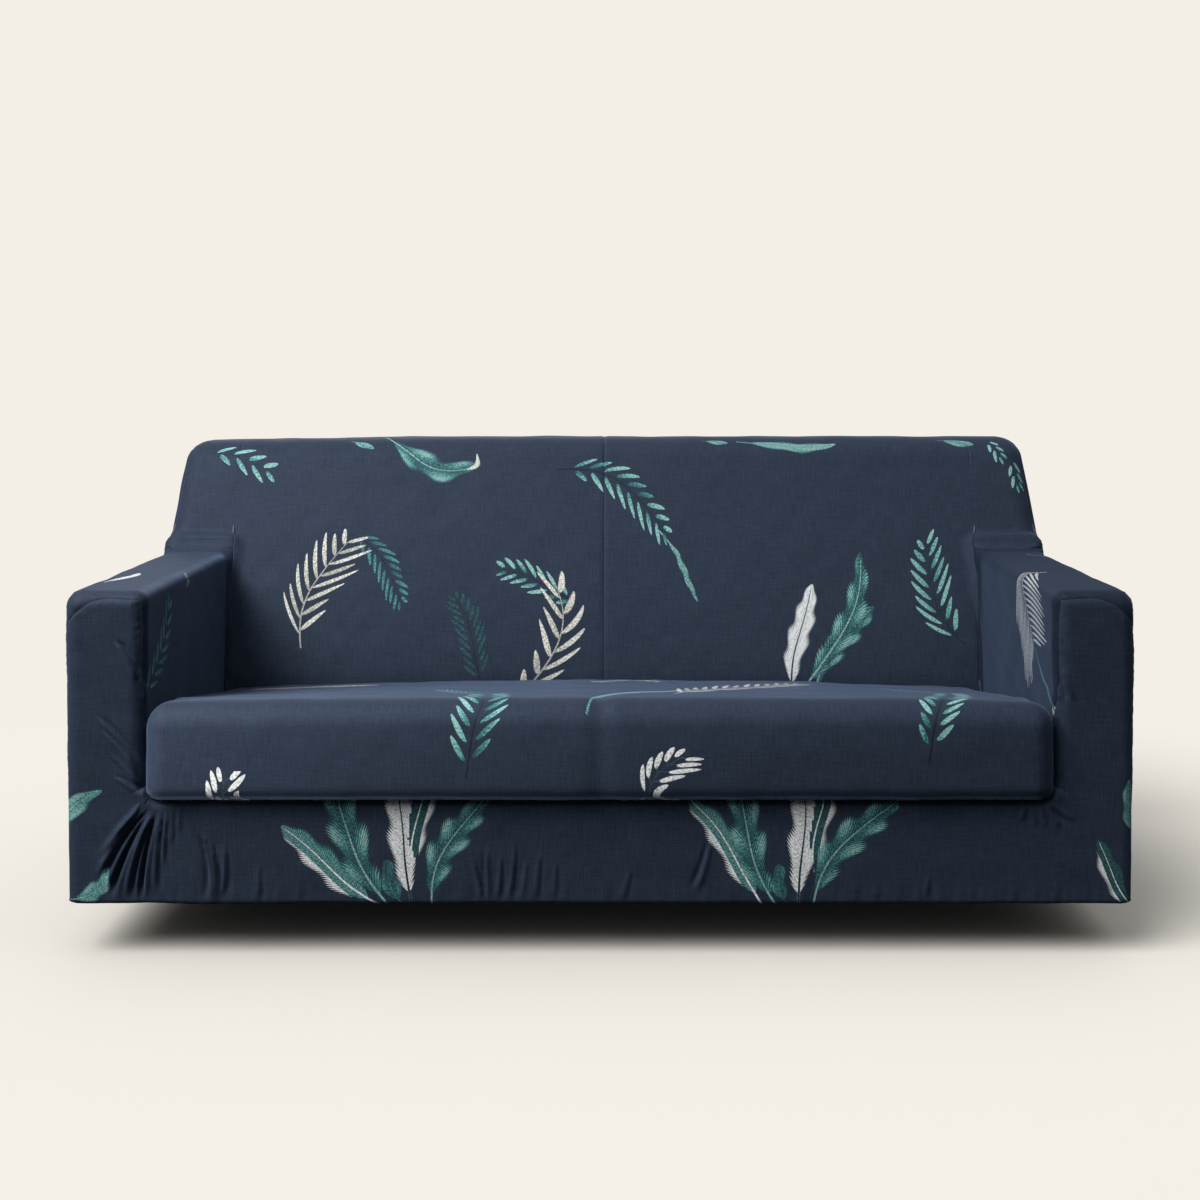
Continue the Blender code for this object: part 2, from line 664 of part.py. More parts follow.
def weld(grids):
    """One set of points and quads from grids that share borders."""
    points, quads, places = [], [], {}
    for grid in grids:
        numbers = np.empty(grid.shape[:2], int)
        for row, column in np.ndindex(grid.shape[:2]):
            key = place(grid[row, column])
            if key not in places:
                places[key] = len(points)
                points.append(grid[row, column])
            numbers[row, column] = places[key]
        corners = (numbers[:-1, :-1], numbers[:-1, 1:], numbers[1:, 1:], numbers[1:, :-1])
        faces = np.stack(corners, axis=-1).reshape(-1, 4)
        across = grid[:-1, 1:] - grid[:-1, :-1]
        along = grid[1:, :-1] - grid[:-1, :-1]
        facing = np.cross(across, along) * outward(grid[:-1, :-1])
        quads += faces.tolist() if facing.sum() > 0 else faces[:, ::-1].tolist()
    return np.array(points), quads


def rim_edges(quads):
    """The edges that only one quad has, in that quad's direction."""
    edges = [(quad[k], quad[(k + 1) % 4]) for quad in quads for k in range(4)]
    edges = [edge for edge in edges if edge[0] != edge[1]]
    have = set(edges)
    return [edge for edge in edges if edge[::-1] not in have]


def cloth_normals(points, quads):
    """Outward directions, and which points lie in a crease.

    They are square to the form, but in a crease square to this panel's own cloth.
    """
    normals = outward(points)
    own = np.zeros_like(points)
    for quad in quads:
        corners = points[quad]
        own[quad] += np.cross(corners[2] - corners[0], corners[3] - corners[1])
    in_crease = np.array([place(point) in creases for point in points])
    own /= np.maximum(np.linalg.norm(own, axis=1, keepdims=True), 1e-12)
    for number in np.flatnonzero(in_crease):
        agreed = agreed_normals.get(place(points[number]), own[number])
        if own[number] @ agreed > 0:
            own[number] = agreed
    normals[in_crease] = own[in_crease]
    return normals, in_crease


def stand_back(points, normals, rim, in_crease):
    """Moves the rim half a seam gap into its own panel, and inwards in a crease."""
    inward = {}
    for start, end in rim:
        way = np.cross(normals[start] + normals[end], points[end] - points[start])
        way /= np.linalg.norm(way)
        inward.setdefault(start, []).append(way)
        inward.setdefault(end, []).append(way)
    moved = points.copy()
    for number, ways in inward.items():
        middle = np.sum(ways, axis=0)
        middle /= np.linalg.norm(middle)
        mitre = max(float(middle @ ways[0]), 0.5)
        moved[number] += middle * SEAM_GAP / 2 / mitre
        if in_crease[number]:
            moved[number] -= normals[number] * SEAM_GAP / 2
    return moved


def make_panel(name, grids):
    """Builds one panel as a closed solid: outer face, inner face and rim."""
    points, quads = weld(grids)
    normals, in_crease = cloth_normals(points, quads)
    rim = rim_edges(quads)
    folded = points + outward(points) * fold_height(points)[:, None]
    outer = stand_back(folded, normals, rim, in_crease)
    inner = outer - normals * CLOTH

    mesh = bmesh.new()
    tops = [mesh.verts.new(point - MOUNT) for point in outer]
    unders = [mesh.verts.new(point - MOUNT) for point in inner]
    for quad in quads:
        corners = list(dict.fromkeys(quad))
        mesh.faces.new([tops[k] for k in corners])
        mesh.faces.new([unders[k] for k in reversed(corners)])
    for start, end in rim:
        mesh.faces.new((tops[end], tops[start], unders[start], unders[end]))
    bmesh.ops.triangulate(mesh, faces=mesh.faces[:])
    data = bpy.data.meshes.new(name)
    mesh.to_mesh(data)
    mesh.free()
    data.shade_smooth()
    data.set_sharp_from_angle(angle=np.radians(50))
    panel = bpy.data.objects.new(name, data)
    bpy.context.scene.collection.objects.link(panel)
    data.materials.append(stretch_jersey(name, COLOURS[name]))
    return panel


def stretch_jersey(name, colour):
    """Matt knitted cloth in one shade of navy."""
    material = bpy.data.materials.new(name + "_jersey")
    material.use_nodes = True
    shader = material.node_tree.nodes["Principled BSDF"]
    shader.inputs["Base Color"].default_value = (*colour, 1)
    shader.inputs["Roughness"].default_value = 0.75
    shader.inputs["Metallic"].default_value = 0.0
    return material


def main():
    for thing in list(bpy.data.objects):
        bpy.data.objects.remove(thing, do_unlink=True)
    fronts = [apron_grid()]
    for side in (LEFT, RIGHT):
        fronts += [arm_front_grid(side), arm_foot_grid(side)]
    make_panel("front_panel", fronts)
    make_panel("seat_panel", [seat_grid()])
    for side, word in ((LEFT, "left"), (RIGHT, "right")):
        make_panel("back_panel_" + word, back_grids(side))
        make_panel("arm_panel_" + word, [*arm_grids(side), end_flap_grid(side)])
    make_panel("rear_panel", [rear_grid()])


if __name__ == "__main__":
    main()
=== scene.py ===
"""Looks of a stretch slipcover on a two-seat sofa with track arms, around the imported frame.

The cloth is modelled as a maker would cut it: seven panels that share their seams. The
tables measure in metres, y from the plane of the arm fronts and z from the floor, and a
finished panel is moved by MOUNT into the frame, whose origin is under the back's top.
Leaves of the print are placed where a ray through their place in the picture meets the
cloth, and are drawn by shader nodes from coordinates along and across each leaf.
"""

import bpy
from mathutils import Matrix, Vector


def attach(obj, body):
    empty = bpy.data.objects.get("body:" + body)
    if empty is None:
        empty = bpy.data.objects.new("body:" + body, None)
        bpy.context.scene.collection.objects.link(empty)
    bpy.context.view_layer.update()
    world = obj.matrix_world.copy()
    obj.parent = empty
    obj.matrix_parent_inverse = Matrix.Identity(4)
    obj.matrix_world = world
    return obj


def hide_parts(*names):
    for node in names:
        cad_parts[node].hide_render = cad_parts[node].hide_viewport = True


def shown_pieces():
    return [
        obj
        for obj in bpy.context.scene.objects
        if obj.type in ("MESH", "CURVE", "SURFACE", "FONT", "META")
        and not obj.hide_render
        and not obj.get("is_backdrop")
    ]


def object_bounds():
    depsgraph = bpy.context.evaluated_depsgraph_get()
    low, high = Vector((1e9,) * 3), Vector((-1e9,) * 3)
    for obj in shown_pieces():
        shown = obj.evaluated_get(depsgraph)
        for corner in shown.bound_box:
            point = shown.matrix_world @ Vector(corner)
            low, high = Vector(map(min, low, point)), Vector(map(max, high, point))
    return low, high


bl_info = {
    "name": "Stretch sofa slipcover",
    "version": (1, 0, 0),
    "blender": (4, 5, 0),
    "location": "View3D > Sidebar > Slipcover",
    "description": "Models a fitted stretch slipcover, panel by panel, with folds and leaf print",
    "category": "Object",
}

from functools import lru_cache

import bpy
import numpy as np
from mathutils import Vector, kdtree

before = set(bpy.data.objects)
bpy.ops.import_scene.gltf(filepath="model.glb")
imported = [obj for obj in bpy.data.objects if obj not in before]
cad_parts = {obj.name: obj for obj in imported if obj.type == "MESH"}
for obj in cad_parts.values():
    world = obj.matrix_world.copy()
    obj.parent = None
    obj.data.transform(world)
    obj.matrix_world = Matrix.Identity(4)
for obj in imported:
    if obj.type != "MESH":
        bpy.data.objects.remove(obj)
CAD_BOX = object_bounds()


# Driving dimensions, all to the outer face of the cloth
HALF_WIDTH = 0.930
DEPTH = 0.880
HEM_HEIGHT = 0.090
ARM_WIDTH = 0.142
ARM_HEIGHT = 0.632
BACK_HEIGHT = 0.867
TUCK_HEIGHT = 0.266  # where the cloth is pushed in under the seat cushions
SEAT_HEIGHT = 0.449
SEAT_OVERHANG = 0.028  # of the seat's front past the arm fronts
SEAT_FALL = 0.125  # drop of the seat per metre towards the rear
SEAT_CROWN = 0.020
BACK_FOOT = 0.600  # the back's front face, at the height of the seat crease
BACK_LEAN = 0.150  # how much further back that face is at its top
BACK_TAPER = 0.025  # how much narrower each end is at the top
BACK_CROWN = 0.012
LEFT_END_DROP = 0.007  # the back's top sags a little towards its left end

# Rounding of the edges
ARM_EDGE = 0.028
ARM_INNER_EDGE = 0.022
BACK_FRONT_EDGE = 0.040
BACK_REAR_EDGE = 0.030
BACK_END_EDGE = 0.045
SEAT_TOP_EDGE = 0.045
SEAT_UNDER_EDGE = 0.020
SEAT_SIDE_EDGE = 0.040
BASE_EDGE = 0.012
HEM_EDGE = 0.008
COVE = 0.035  # where the cloth spans the corner between arm and back
SEAM_IN_COVE = 0.006  # the seam in that corner lies this far out from both faces
CORNER_COVE = 0.024  # and the corner between arm and base, below the seat's end
VALLEY = 0.004  # rounding at the bottom of a tuck
TUCK_OPEN = 0.008  # the tuck under the seat is this open at the arm fronts' plane,
TUCK_DEPTH = 0.022  # and closes this far behind it

# Cloth and seams
CLOTH = 0.002
HEM_TURN = 0.025  # width of the hem turned under
ARC_RADIUS = 0.083  # arc seam over the outer corner of each arm front
ARC_CENTRE_HEIGHT = 0.537
HEM_START = 0.0085  # the hem's rounded edge starts this far from its corner,
HEM_MIDDLE = 0.0024  # and its middle is this far from both faces
REAR_SEAM_IN = 0.0088  # the seams down the rear edges lie this far from both faces
WELD = 0.0001  # points of neighbouring grids this close together are one
OUTSIDE = -0.060  # y of places in front of the whole cover, from which seams are looked for

ARM_INNER = HALF_WIDTH - ARM_WIDTH
ARM_SEAM_HEIGHT = ARM_HEIGHT + SEAM_IN_COVE
SEAT_END = ARM_INNER - 0.001
CREASE_HEIGHT = SEAT_HEIGHT - SEAT_FALL * BACK_FOOT
MOUNT = np.array([0.0, DEPTH - 0.060, BACK_HEIGHT - CLOTH])
LEFT, RIGHT = -1, 1
ACROSS, REARWARD = (1, 0, 0), (0, 1, 0)
UPWARD, DOWNWARD = (0, 0, 1), (0, 0, -1)


# --- The picture's camera ----------------------------------------------------------------

PICTURE = 1200  # the picture is this many pixels wide and high
FOCAL = 1734  # pixels
LENS = 36 * FOCAL / PICTURE  # millimetres on a sensor 36 mm wide
EYE = np.array([0.037, -3.000, 1.020])
SHIFT_UP = -0.194  # of the picture's width
SHIFT_RIGHT = -0.0178


def picture_ray(across, down):
    """Direction in which the camera sees a pixel of the picture."""
    right = (across - PICTURE / 2) / FOCAL + SHIFT_RIGHT * PICTURE / FOCAL
    up = (PICTURE / 2 - down) / FOCAL + SHIFT_UP * PICTURE / FOCAL
    ray = np.array([right, 1, up])
    return ray / np.linalg.norm(ray)


def seen_at(panel, across, down):
    """The point of a panel that the picture shows at a pixel, also past its top or hem."""
    ray = picture_ray(across, down)
    if not panel.startswith(("front", "back")):
        return march([EYE], ray)[0]
    point = EYE - ray * EYE[1] / ray[1]
    for _ in range(12 if panel.startswith("back") else 0):
        point = EYE + ray * (back_face(point[0], point[2]) - EYE[1]) / ray[1]
    return point


# --- The form that the cloth takes -------------------------------------------------------


def meet(a, b, radius):
    """Inside both a and b, with the edge between their faces rounded."""
    edge = np.hypot(np.maximum(a + radius, 0), np.maximum(b + radius, 0))
    return np.minimum(np.maximum(a, b), -radius) + edge


def join(a, b, radius):
    """Inside a or b, with the valley between their faces rounded."""
    return -meet(-a, -b, radius)


def cove(distance, radius):
    """Rise of a concave quarter round at a distance from the wall it meets."""
    inside = np.clip(radius - distance, 0, radius)
    return radius - np.sqrt(radius**2 - inside**2)


def ease(value):
    value = np.clip(value, 0, 1)
    return value * value * (3 - 2 * value)


def back_face(x, z):
    """Depth of the back's front face: it leans back more towards its top."""
    rise = np.clip((z - CREASE_HEIGHT) / (BACK_HEIGHT - CREASE_HEIGHT), 0, 1.1)
    crown = BACK_CROWN * (1 - (x / HALF_WIDTH) ** 2)
    return BACK_FOOT + BACK_CROWN + BACK_LEAN * rise**1.5 - crown


def half_width(z):
    """Half the width of the back, which tapers above the arms."""
    rise = np.clip((z - ARM_SEAM_HEIGHT) / (BACK_HEIGHT - ARM_SEAM_HEIGHT), 0, 1.1)
    return HALF_WIDTH - BACK_TAPER * rise


def back_top(x):
    return BACK_HEIGHT - LEFT_END_DROP * ease((-x - 0.30) / 0.60)


def seat_top(x, y):
    """Height of the seat: it falls to the rear and to both ends."""
    crown = SEAT_CROWN * (x / ARM_INNER) ** 2 * (0.35 + 0.65 * ease(y / BACK_FOOT))
    trough = 0.004 * np.exp(-((x / 0.020) ** 2)) * (0.3 + 0.7 * ease((0.12 - y) / 0.12))
    return SEAT_HEIGHT - SEAT_FALL * np.maximum(y, 0) - crown - trough


def seat_front(x, z):
    """How far the seat's front stands out: a little more at its middle height."""
    middle = (TUCK_HEIGHT + SEAT_HEIGHT) / 2
    bulge = 0.006 * (1 - ((z - middle) / 0.09) ** 2) * (1 - (x / ARM_INNER) ** 4)
    return SEAT_OVERHANG + bulge - 0.003 * np.exp(-((x / 0.020) ** 2))


def seat_under(y):
    """Height of the seat's underside, which closes on the base inside the tuck."""
    return TUCK_HEIGHT + TUCK_OPEN * np.clip(1 - y / TUCK_DEPTH, 0, 1.6)


def form(points):
    """Below zero inside the covered sofa, zero on the outer face of the cloth."""
    x, y, z = points[..., 0], points[..., 1], points[..., 2]
    across = np.abs(x)
    rear = y - DEPTH
    sides = across - HALF_WIDTH
    plan = meet(meet(-y, sides, ARM_EDGE), rear, BACK_REAR_EDGE)

    to_back = back_face(x, ARM_HEIGHT) - y
    arm_top = z - ARM_HEIGHT - cove(to_back, COVE)
    spanned = ease((z - SEAT_HEIGHT) / (ARM_HEIGHT - SEAT_HEIGHT))
    arm_inner = ARM_INNER - across - spanned * cove(back_face(x, z) - y, COVE)
    arms = meet(meet(arm_top, arm_inner, ARM_INNER_EDGE), plan, ARM_EDGE)
    base_top = TUCK_HEIGHT + cove(ARM_INNER - across, CORNER_COVE)
    base = meet(z - base_top, plan, BASE_EDGE)

    back = meet(back_face(x, z) - y, z - back_top(x), BACK_FRONT_EDGE)
    back = meet(back, rear, BACK_REAR_EDGE)
    back = meet(back, across - half_width(z), BACK_END_EDGE)

    seat_plan = meet(-y - seat_front(x, z), across - SEAT_END, SEAT_SIDE_EDGE)
    seat_plan = np.maximum(seat_plan, y - back_face(x, z) + 0.001)
    seat = meet(seat_plan, seat_under(y) - z, SEAT_UNDER_EDGE)
    seat = meet(seat, z - seat_top(x, y), SEAT_TOP_EDGE)

    covered = np.minimum(np.minimum(arms, base), back)
    return meet(join(covered, seat, VALLEY), HEM_HEIGHT - z, HEM_EDGE)


def gradient(points):
    step = 0.0002
    parts = []
    for axis in range(3):
        shift = np.zeros(3)
        shift[axis] = step
        parts.append((form(points + shift) - form(points - shift)) / (2 * step))
    return np.stack(parts, axis=-1)


def settle(points):
    """Moves points square onto the form."""
    points = np.array(points, float)
    for _ in range(24):
        slope = gradient(points)
        size = np.maximum((slope**2).sum(-1, keepdims=True), 0.3)
        points = points - form(points)[..., None] * slope / size
    return points


def march(points, way):
    """Moves points along one way until they meet the form."""
    points = np.array(points, float)
    way = np.array(way, float)
    for _ in range(240):
        points = points + 0.9 * np.maximum(form(points), 0)[..., None] * way
    return points


def deepest(points, way, across, reach):
    """The bottom of the tuck or crease that each point looks into.

    It tries places to both sides of the point, and keeps the one that lies furthest in.
    """
    points = np.array(points, float)
    offsets = np.linspace(-reach, reach, 61)[:, None] * np.array(across, float)
    tried = march(points[None] + offsets[:, None], way)
    best = np.argmax(tried @ np.array(way, float), axis=0)
    return tried[best, np.arange(len(points))]


def outward(points):
    slope = gradient(points)
    return slope / np.maximum(np.linalg.norm(slope, axis=-1, keepdims=True), 1e-9)


# --- Grids of points between seams -------------------------------------------------------


def line(*stops):
    """Points through (point, steps) stops, straight between them."""
    points = [np.array(stops[0][0], float)]
    for point, steps in stops[1:]:
        start, end = points[-1], np.array(point, float)
        points += [start + (end - start) * k / steps for k in range(1, steps + 1)]
    return np.array(points)


def between(first, last, shares):
    """A grid of rows from the first line to the last, at the given shares of the way."""
    shares = np.asarray(shares)[:, None, None]
    return first[None] * (1 - shares) + last[None] * shares


def patch(bottom, top, left, right):
    """A grid that fills four border lines; bottom and top run from left to right."""
    u = np.linspace(0, 1, len(bottom))[None, :, None]
    v = np.linspace(0, 1, len(left))[:, None, None]
    ruled_v = bottom[None] * (1 - v) + top[None] * v
    ruled_u = left[:, None] * (1 - u) + right[:, None] * u
    low = bottom[0] * (1 - u) + bottom[-1] * u
    high = top[0] * (1 - u) + top[-1] * u
    return ruled_v + ruled_u - low * (1 - v) - high * v


# Rows of the seat, front to rear: (y, z) over the cushion, the same row's y or z at its
# ends, where the cloth is pushed in beside the arm, and how steeply it is looked for from
# outside, from 0 for straight from the front to 1 for straight from above.
SEAT_ROWS = (
    # y, z, end y, end z, steepness
    (0.012, 0.268, None, 0.274, 0),
    (-0.004, 0.275, None, 0.285, 0),
    (-0.020, 0.281, None, 0.295, 0),
    (-0.029, 0.296, None, 0.308, 0),
    (-0.033, 0.328, None, 0.330, 0),
    (-0.034, 0.366, None, 0.358, 0),
    (-0.030, 0.402, None, 0.380, 0),
    (-0.017, 0.434, 0.024, None, 0.45),
    (0.006, 0.447, 0.036, None, 0.85),
    (0.045, None, 0.058, None, 1),
    (0.130, None, 0.130, None, 1),
    (0.250, None, 0.250, None, 1),
    (0.370, None, 0.370, None, 1),
    (0.480, None, 0.480, None, 1),
    (0.545, None, 0.548, None, 1),
    (0.575, None, 0.578, None, 1),
    (0.599, None, 0.600, None, 1),
)
FRONT_ROWS = 7  # rows of the seat that lie on its front, below the arm's inner edge

# Columns across the seat, as distances from its centre line
SEAT_COLUMNS = (
    *(0.0, 0.018, 0.045, 0.13, 0.25, 0.37, 0.49, 0.60),
    *(0.68, 0.725, 0.750, 0.766, 0.777),
)
FOLD_COLUMNS = {
    LEFT: (0.637, 0.649, 0.663, 0.676, 0.692, 0.704, 0.715, 0.738, 0.759),
    RIGHT: (0.167, 0.180, 0.192, 0.738, 0.759),
}
ARM_STEPS = {LEFT: 10, RIGHT: 7}  # columns across each arm, more where it is folded

# Rows of the front panel below the tuck, (y, z)
HEM_ROWS = (
    (HEM_TURN, HEM_HEIGHT),
    (HEM_START, HEM_HEIGHT),
    (HEM_MIDDLE, HEM_HEIGHT + HEM_MIDDLE),
    (0.0, HEM_HEIGHT + HEM_START),
)
APRON_HEIGHTS = (0.115, 0.132, 0.150, 0.168, 0.187, 0.206, 0.224, 0.240)
TUCK_ROWS = ((0.0, 0.252), (0.0035, 0.2625))

# The seam up the inner edge of an arm front: (height, degrees round the edge)
ARM_FRONT_ABOVE_SEAT = ((0.420, 22), (0.447, 40), (0.490, 45), (0.540, 45), (0.582, 45))
BACK_ROWS_ABOVE_ARM = (0.690, 0.750, 0.800, 0.828)
REAR_HEIGHTS = (0.520, 0.400, 0.290, 0.190, 0.125)


def mirrored(points, side):
    points = np.array(points, float)
    points[..., 0] *= side
    return points


@lru_cache
def seat_lines(side):
    """The seat's rows on one side of the centre line, for every column."""
    found, starts, ways = [], [], []
    for x in SEAT_COLUMNS:
        near_end = ease((x - SEAT_END + SEAT_TOP_EDGE) / SEAT_TOP_EDGE)
        for y, z, end_y, end_z, steepness in SEAT_ROWS:
            height = seat_top(x, y) if z is None else z
            if end_y is None:
                found.append((x, y, height + near_end * (end_z - height)))
                continue
            steep = steepness + near_end * (1 - steepness)
            way = np.array([0, 1 - steep, -steep]) / np.hypot(1 - steep, steep)
            starts.append(np.array([x, y + near_end * (end_y - y), height]) - 0.06 * way)
            ways.append(way)
    columns = len(SEAT_COLUMNS)
    front = settle(mirrored(found, side)).reshape(columns, -1, 3)
    top = march(mirrored(starts, side), ways).reshape(columns, -1, 3)
    lines = np.concatenate([front, top], axis=1)
    tuck = [(x, OUTSIDE, TUCK_HEIGHT + 0.004) for x in SEAT_COLUMNS]
    lines[:, 0] = deepest(mirrored(tuck, side), REARWARD, UPWARD, 0.010)
    crease = [(x, back_face(x, CREASE_HEIGHT) - 0.010, ARM_HEIGHT) for x in SEAT_COLUMNS]
    lines[:, -1] = deepest(mirrored(crease, side), DOWNWARD, REARWARD, 0.0095)
    return lines


@lru_cache
def seat_end_line(side):
    """The seat's rows at its end: the seam with the front panel and then with the arm."""
    front = [(SEAT_END, OUTSIDE, row[3]) for row in SEAT_ROWS[:FRONT_ROWS]]
    front = deepest(mirrored(front, side), REARWARD, ACROSS, 0.012)
    tuck = mirrored([(SEAT_END - 0.004, OUTSIDE, SEAT_ROWS[0][3])], side)
    front[0] = deepest(tuck, REARWARD, UPWARD, 0.010)[0]
    top = [(SEAT_END - 0.010, row[2], ARM_HEIGHT) for row in SEAT_ROWS[FRONT_ROWS:]]
    top = deepest(mirrored(top, side), DOWNWARD, ACROSS, 0.0095)
    return np.vstack([front, top])


@lru_cache
def seat_grid():
    """Rows from front to rear, columns from the left end to the right."""
    lines = [seat_end_line(LEFT)]
    lines += [*seat_lines(LEFT)[:0:-1], *seat_lines(RIGHT)]
    lines += [seat_end_line(RIGHT)]
    return np.stack(lines, axis=1)


def lower_rows():
    """(y, z) of the front's rows from the hem's inner edge to the tuck."""
    flat = tuple((0.0, z) for z in APRON_HEIGHTS)
    return HEM_ROWS + flat + TUCK_ROWS


def front_columns(side):
    return sorted(SEAT_COLUMNS + FOLD_COLUMNS[side])


def apron_grid():
    """The front below the tuck, from one arm's inner edge to the other's."""
    columns = [-x for x in front_columns(LEFT)[:0:-1]] + front_columns(RIGHT)
    rows = []
    for y, z in lower_rows():
        ends = [(LEFT * SEAT_END, y, z)], [(RIGHT * SEAT_END, y, z)]
        rows.append(ends[0] + [(x, y, z) for x in columns] + ends[1])
    grid = settle(rows)
    seam = seat_grid()[0]
    across = grid[0, :, 0]
    tuck = np.stack([np.interp(across, seam[:, 0], seam[:, k]) for k in range(3)], axis=-1)
    tuck[0], tuck[-1] = seam[0], seam[-1]
    return np.concatenate([grid, tuck[None]])


def arc_point(degrees):
    """A point of the arc seam, from 0 degrees at the arm's side to 90 on its top edge."""
    angle = np.radians(degrees)
    x = HALF_WIDTH - ARC_RADIUS + ARC_RADIUS * np.cos(angle)
    z = ARC_CENTRE_HEIGHT + ARC_RADIUS * np.sin(angle)
    return (x, ARM_EDGE * (1 - np.sin(angle)) * np.cos(angle) + 0.005 * np.sin(angle), z)


@lru_cache
def arm_front_borders(side):
    """The borders of an arm front above the tuck: bottom, top, inner and outer."""
    steps = ARM_STEPS[side]
    inner_seat = seat_end_line(side)[: FRONT_ROWS + 1]
    inner_above = []
    for z, degrees in ARM_FRONT_ABOVE_SEAT:
        angle = np.radians(degrees)
        x = ARM_INNER + ARM_EDGE * (1 - np.cos(angle))
        inner_above.append((x, ARM_EDGE * (1 - np.sin(angle)), z))
    corner = (ARM_INNER + 0.010, 0.006, ARC_CENTRE_HEIGHT + ARC_RADIUS - 0.004)
    inner = np.vstack([inner_seat, settle(mirrored(inner_above + [corner], side))])

    arc_steps = steps // 2
    straight = line(
        (corner, 1), ((HALF_WIDTH - ARC_RADIUS, 0.005, arc_point(90)[2]), steps - arc_steps)
    )
    arc = [arc_point(90 - 45 * k / arc_steps) for k in range(1, arc_steps + 1)]
    top = settle(mirrored(np.vstack([straight, arc]), side))

    rows = len(inner) - 1
    upright = line(
        ((HALF_WIDTH, ARM_EDGE, TUCK_HEIGHT), 1),
        ((HALF_WIDTH, ARM_EDGE, ARC_CENTRE_HEIGHT), rows - 3),
    )
    arc = [arc_point(degrees) for degrees in (14, 29, 45)]
    outer = settle(mirrored(np.vstack([upright, arc]), side))
    outer[-1] = top[-1]
    top[0] = inner[-1]

    ends = line(((ARM_INNER, 0, TUCK_HEIGHT), 1), ((HALF_WIDTH, 0, TUCK_HEIGHT), steps))
    bottom = settle(mirrored(ends, side))
    bottom[0], bottom[-1] = inner[0], outer[0]
    return bottom, top, inner, outer


def arm_front_grid(side):
    bottom, top, inner, outer = arm_front_borders(side)
    grid = patch(bottom, top, inner, outer)
    grid[1:-1, 1:-1, 1] = OUTSIDE
    grid[1:-1, 1:-1] = march(grid[1:-1, 1:-1], REARWARD)
    return grid


@lru_cache
def arm_foot_grid(side):
    """The front below an arm front, from the apron's end to the seam at the side."""
    bottom, _, _, _ = arm_front_borders(side)
    outer_y = (HEM_TURN, 0.0278, ARM_EDGE, ARM_EDGE)
    outer_x = [HALF_WIDTH - inward for inward in (HEM_TURN, HEM_START, HEM_MIDDLE, 0)]
    rows = []
    for number, (y, z) in enumerate(lower_rows()):
        end_x = outer_x[number] if number < 4 else HALF_WIDTH
        end_y = outer_y[number] if number < 4 else ARM_EDGE
        share = np.linspace(0, 1, len(bottom))
        x = SEAT_END + (end_x - SEAT_END) * share
        row = np.stack([x, np.full(len(x), y), np.full(len(x), z)], axis=1)
        row[-1] = (end_x, end_y, z)
        rows.append(row)
    grid = settle(mirrored(rows, side))
    return np.concatenate([grid, bottom[None]])


@lru_cache
def arm_rear_line(side):
    """The seam in the corner of arm and back: up from the seat, then out over the arm."""
    above = len(ARM_FRONT_ABOVE_SEAT) + 1
    steps = ARM_STEPS[side]
    crease = seat_end_line(side)[-1]
    heights = np.linspace(crease[2], ARM_SEAM_HEIGHT, above + 1)[1:]
    inner = [(ARM_INNER - SEAM_IN_COVE, BACK_FOOT - COVE, z) for z in heights]
    share = np.linspace(0, 1, steps + 1)[1:]
    wide = HALF_WIDTH - ARM_INNER + SEAM_IN_COVE - 0.0005
    across = ARM_INNER - SEAM_IN_COVE + wide * ease(share * 0.5 + 0.0) * 2
    top = [(x, BACK_FOOT - COVE, ARM_SEAM_HEIGHT) for x in across]
    start = march(mirrored(inner + top, side), REARWARD)
    return np.vstack([crease[None], start])


@lru_cache
def arm_grids(side):
    """The arm's cloth in front of the back's face, and the outer side behind it."""
    _, top, inner, outer = arm_front_borders(side)
    foot = arm_foot_grid(side)
    front = np.vstack([inner[FRONT_ROWS:], top[1:], outer[-2::-1], foot[-2::-1, -1]])
    start = arm_rear_line(side)
    below = front[len(start) :]
    turn = len(start) - 1
    split = start[turn][1]

    side_split = below.copy()
    side_split[:, 1] = split
    middle = np.vstack([start, settle(side_split)])
    seat_y = seat_end_line(side)[FRONT_ROWS:, 1]
    shares = (seat_y - seat_y[0]) / (seat_y[-1] - seat_y[0])
    grid = between(front, middle, shares)
    grid[1:-1, 1:] = settle(grid[1:-1, 1:])
    grid[:, 0] = seat_end_line(side)[FRONT_ROWS:]
    flat = grid[1:-1, -1]
    flat[:, 0] = side * (HALF_WIDTH - HEM_TURN)
    flat[:, 2] = HEM_HEIGHT

    rear = below.copy()
    rear[:, 0] = side * (HALF_WIDTH - REAR_SEAM_IN)
    rear[:, 1] = DEPTH - REAR_SEAM_IN
    rear = np.vstack([end_flap_grid(side)[0, -1:], settle(rear)])
    rear[-1] = (side * (HALF_WIDTH - HEM_TURN), DEPTH - HEM_TURN, HEM_HEIGHT)
    flap_row = end_flap_grid(side)[0]
    shares = (flap_row[:, 1] - flap_row[0, 1]) / (flap_row[-1, 1] - flap_row[0, 1])
    behind = between(middle[turn:], rear, shares)
    behind[1:-1, 1:-1] = settle(behind[1:-1, 1:-1])
    behind[:, 0] = flap_row
    return grid, behind


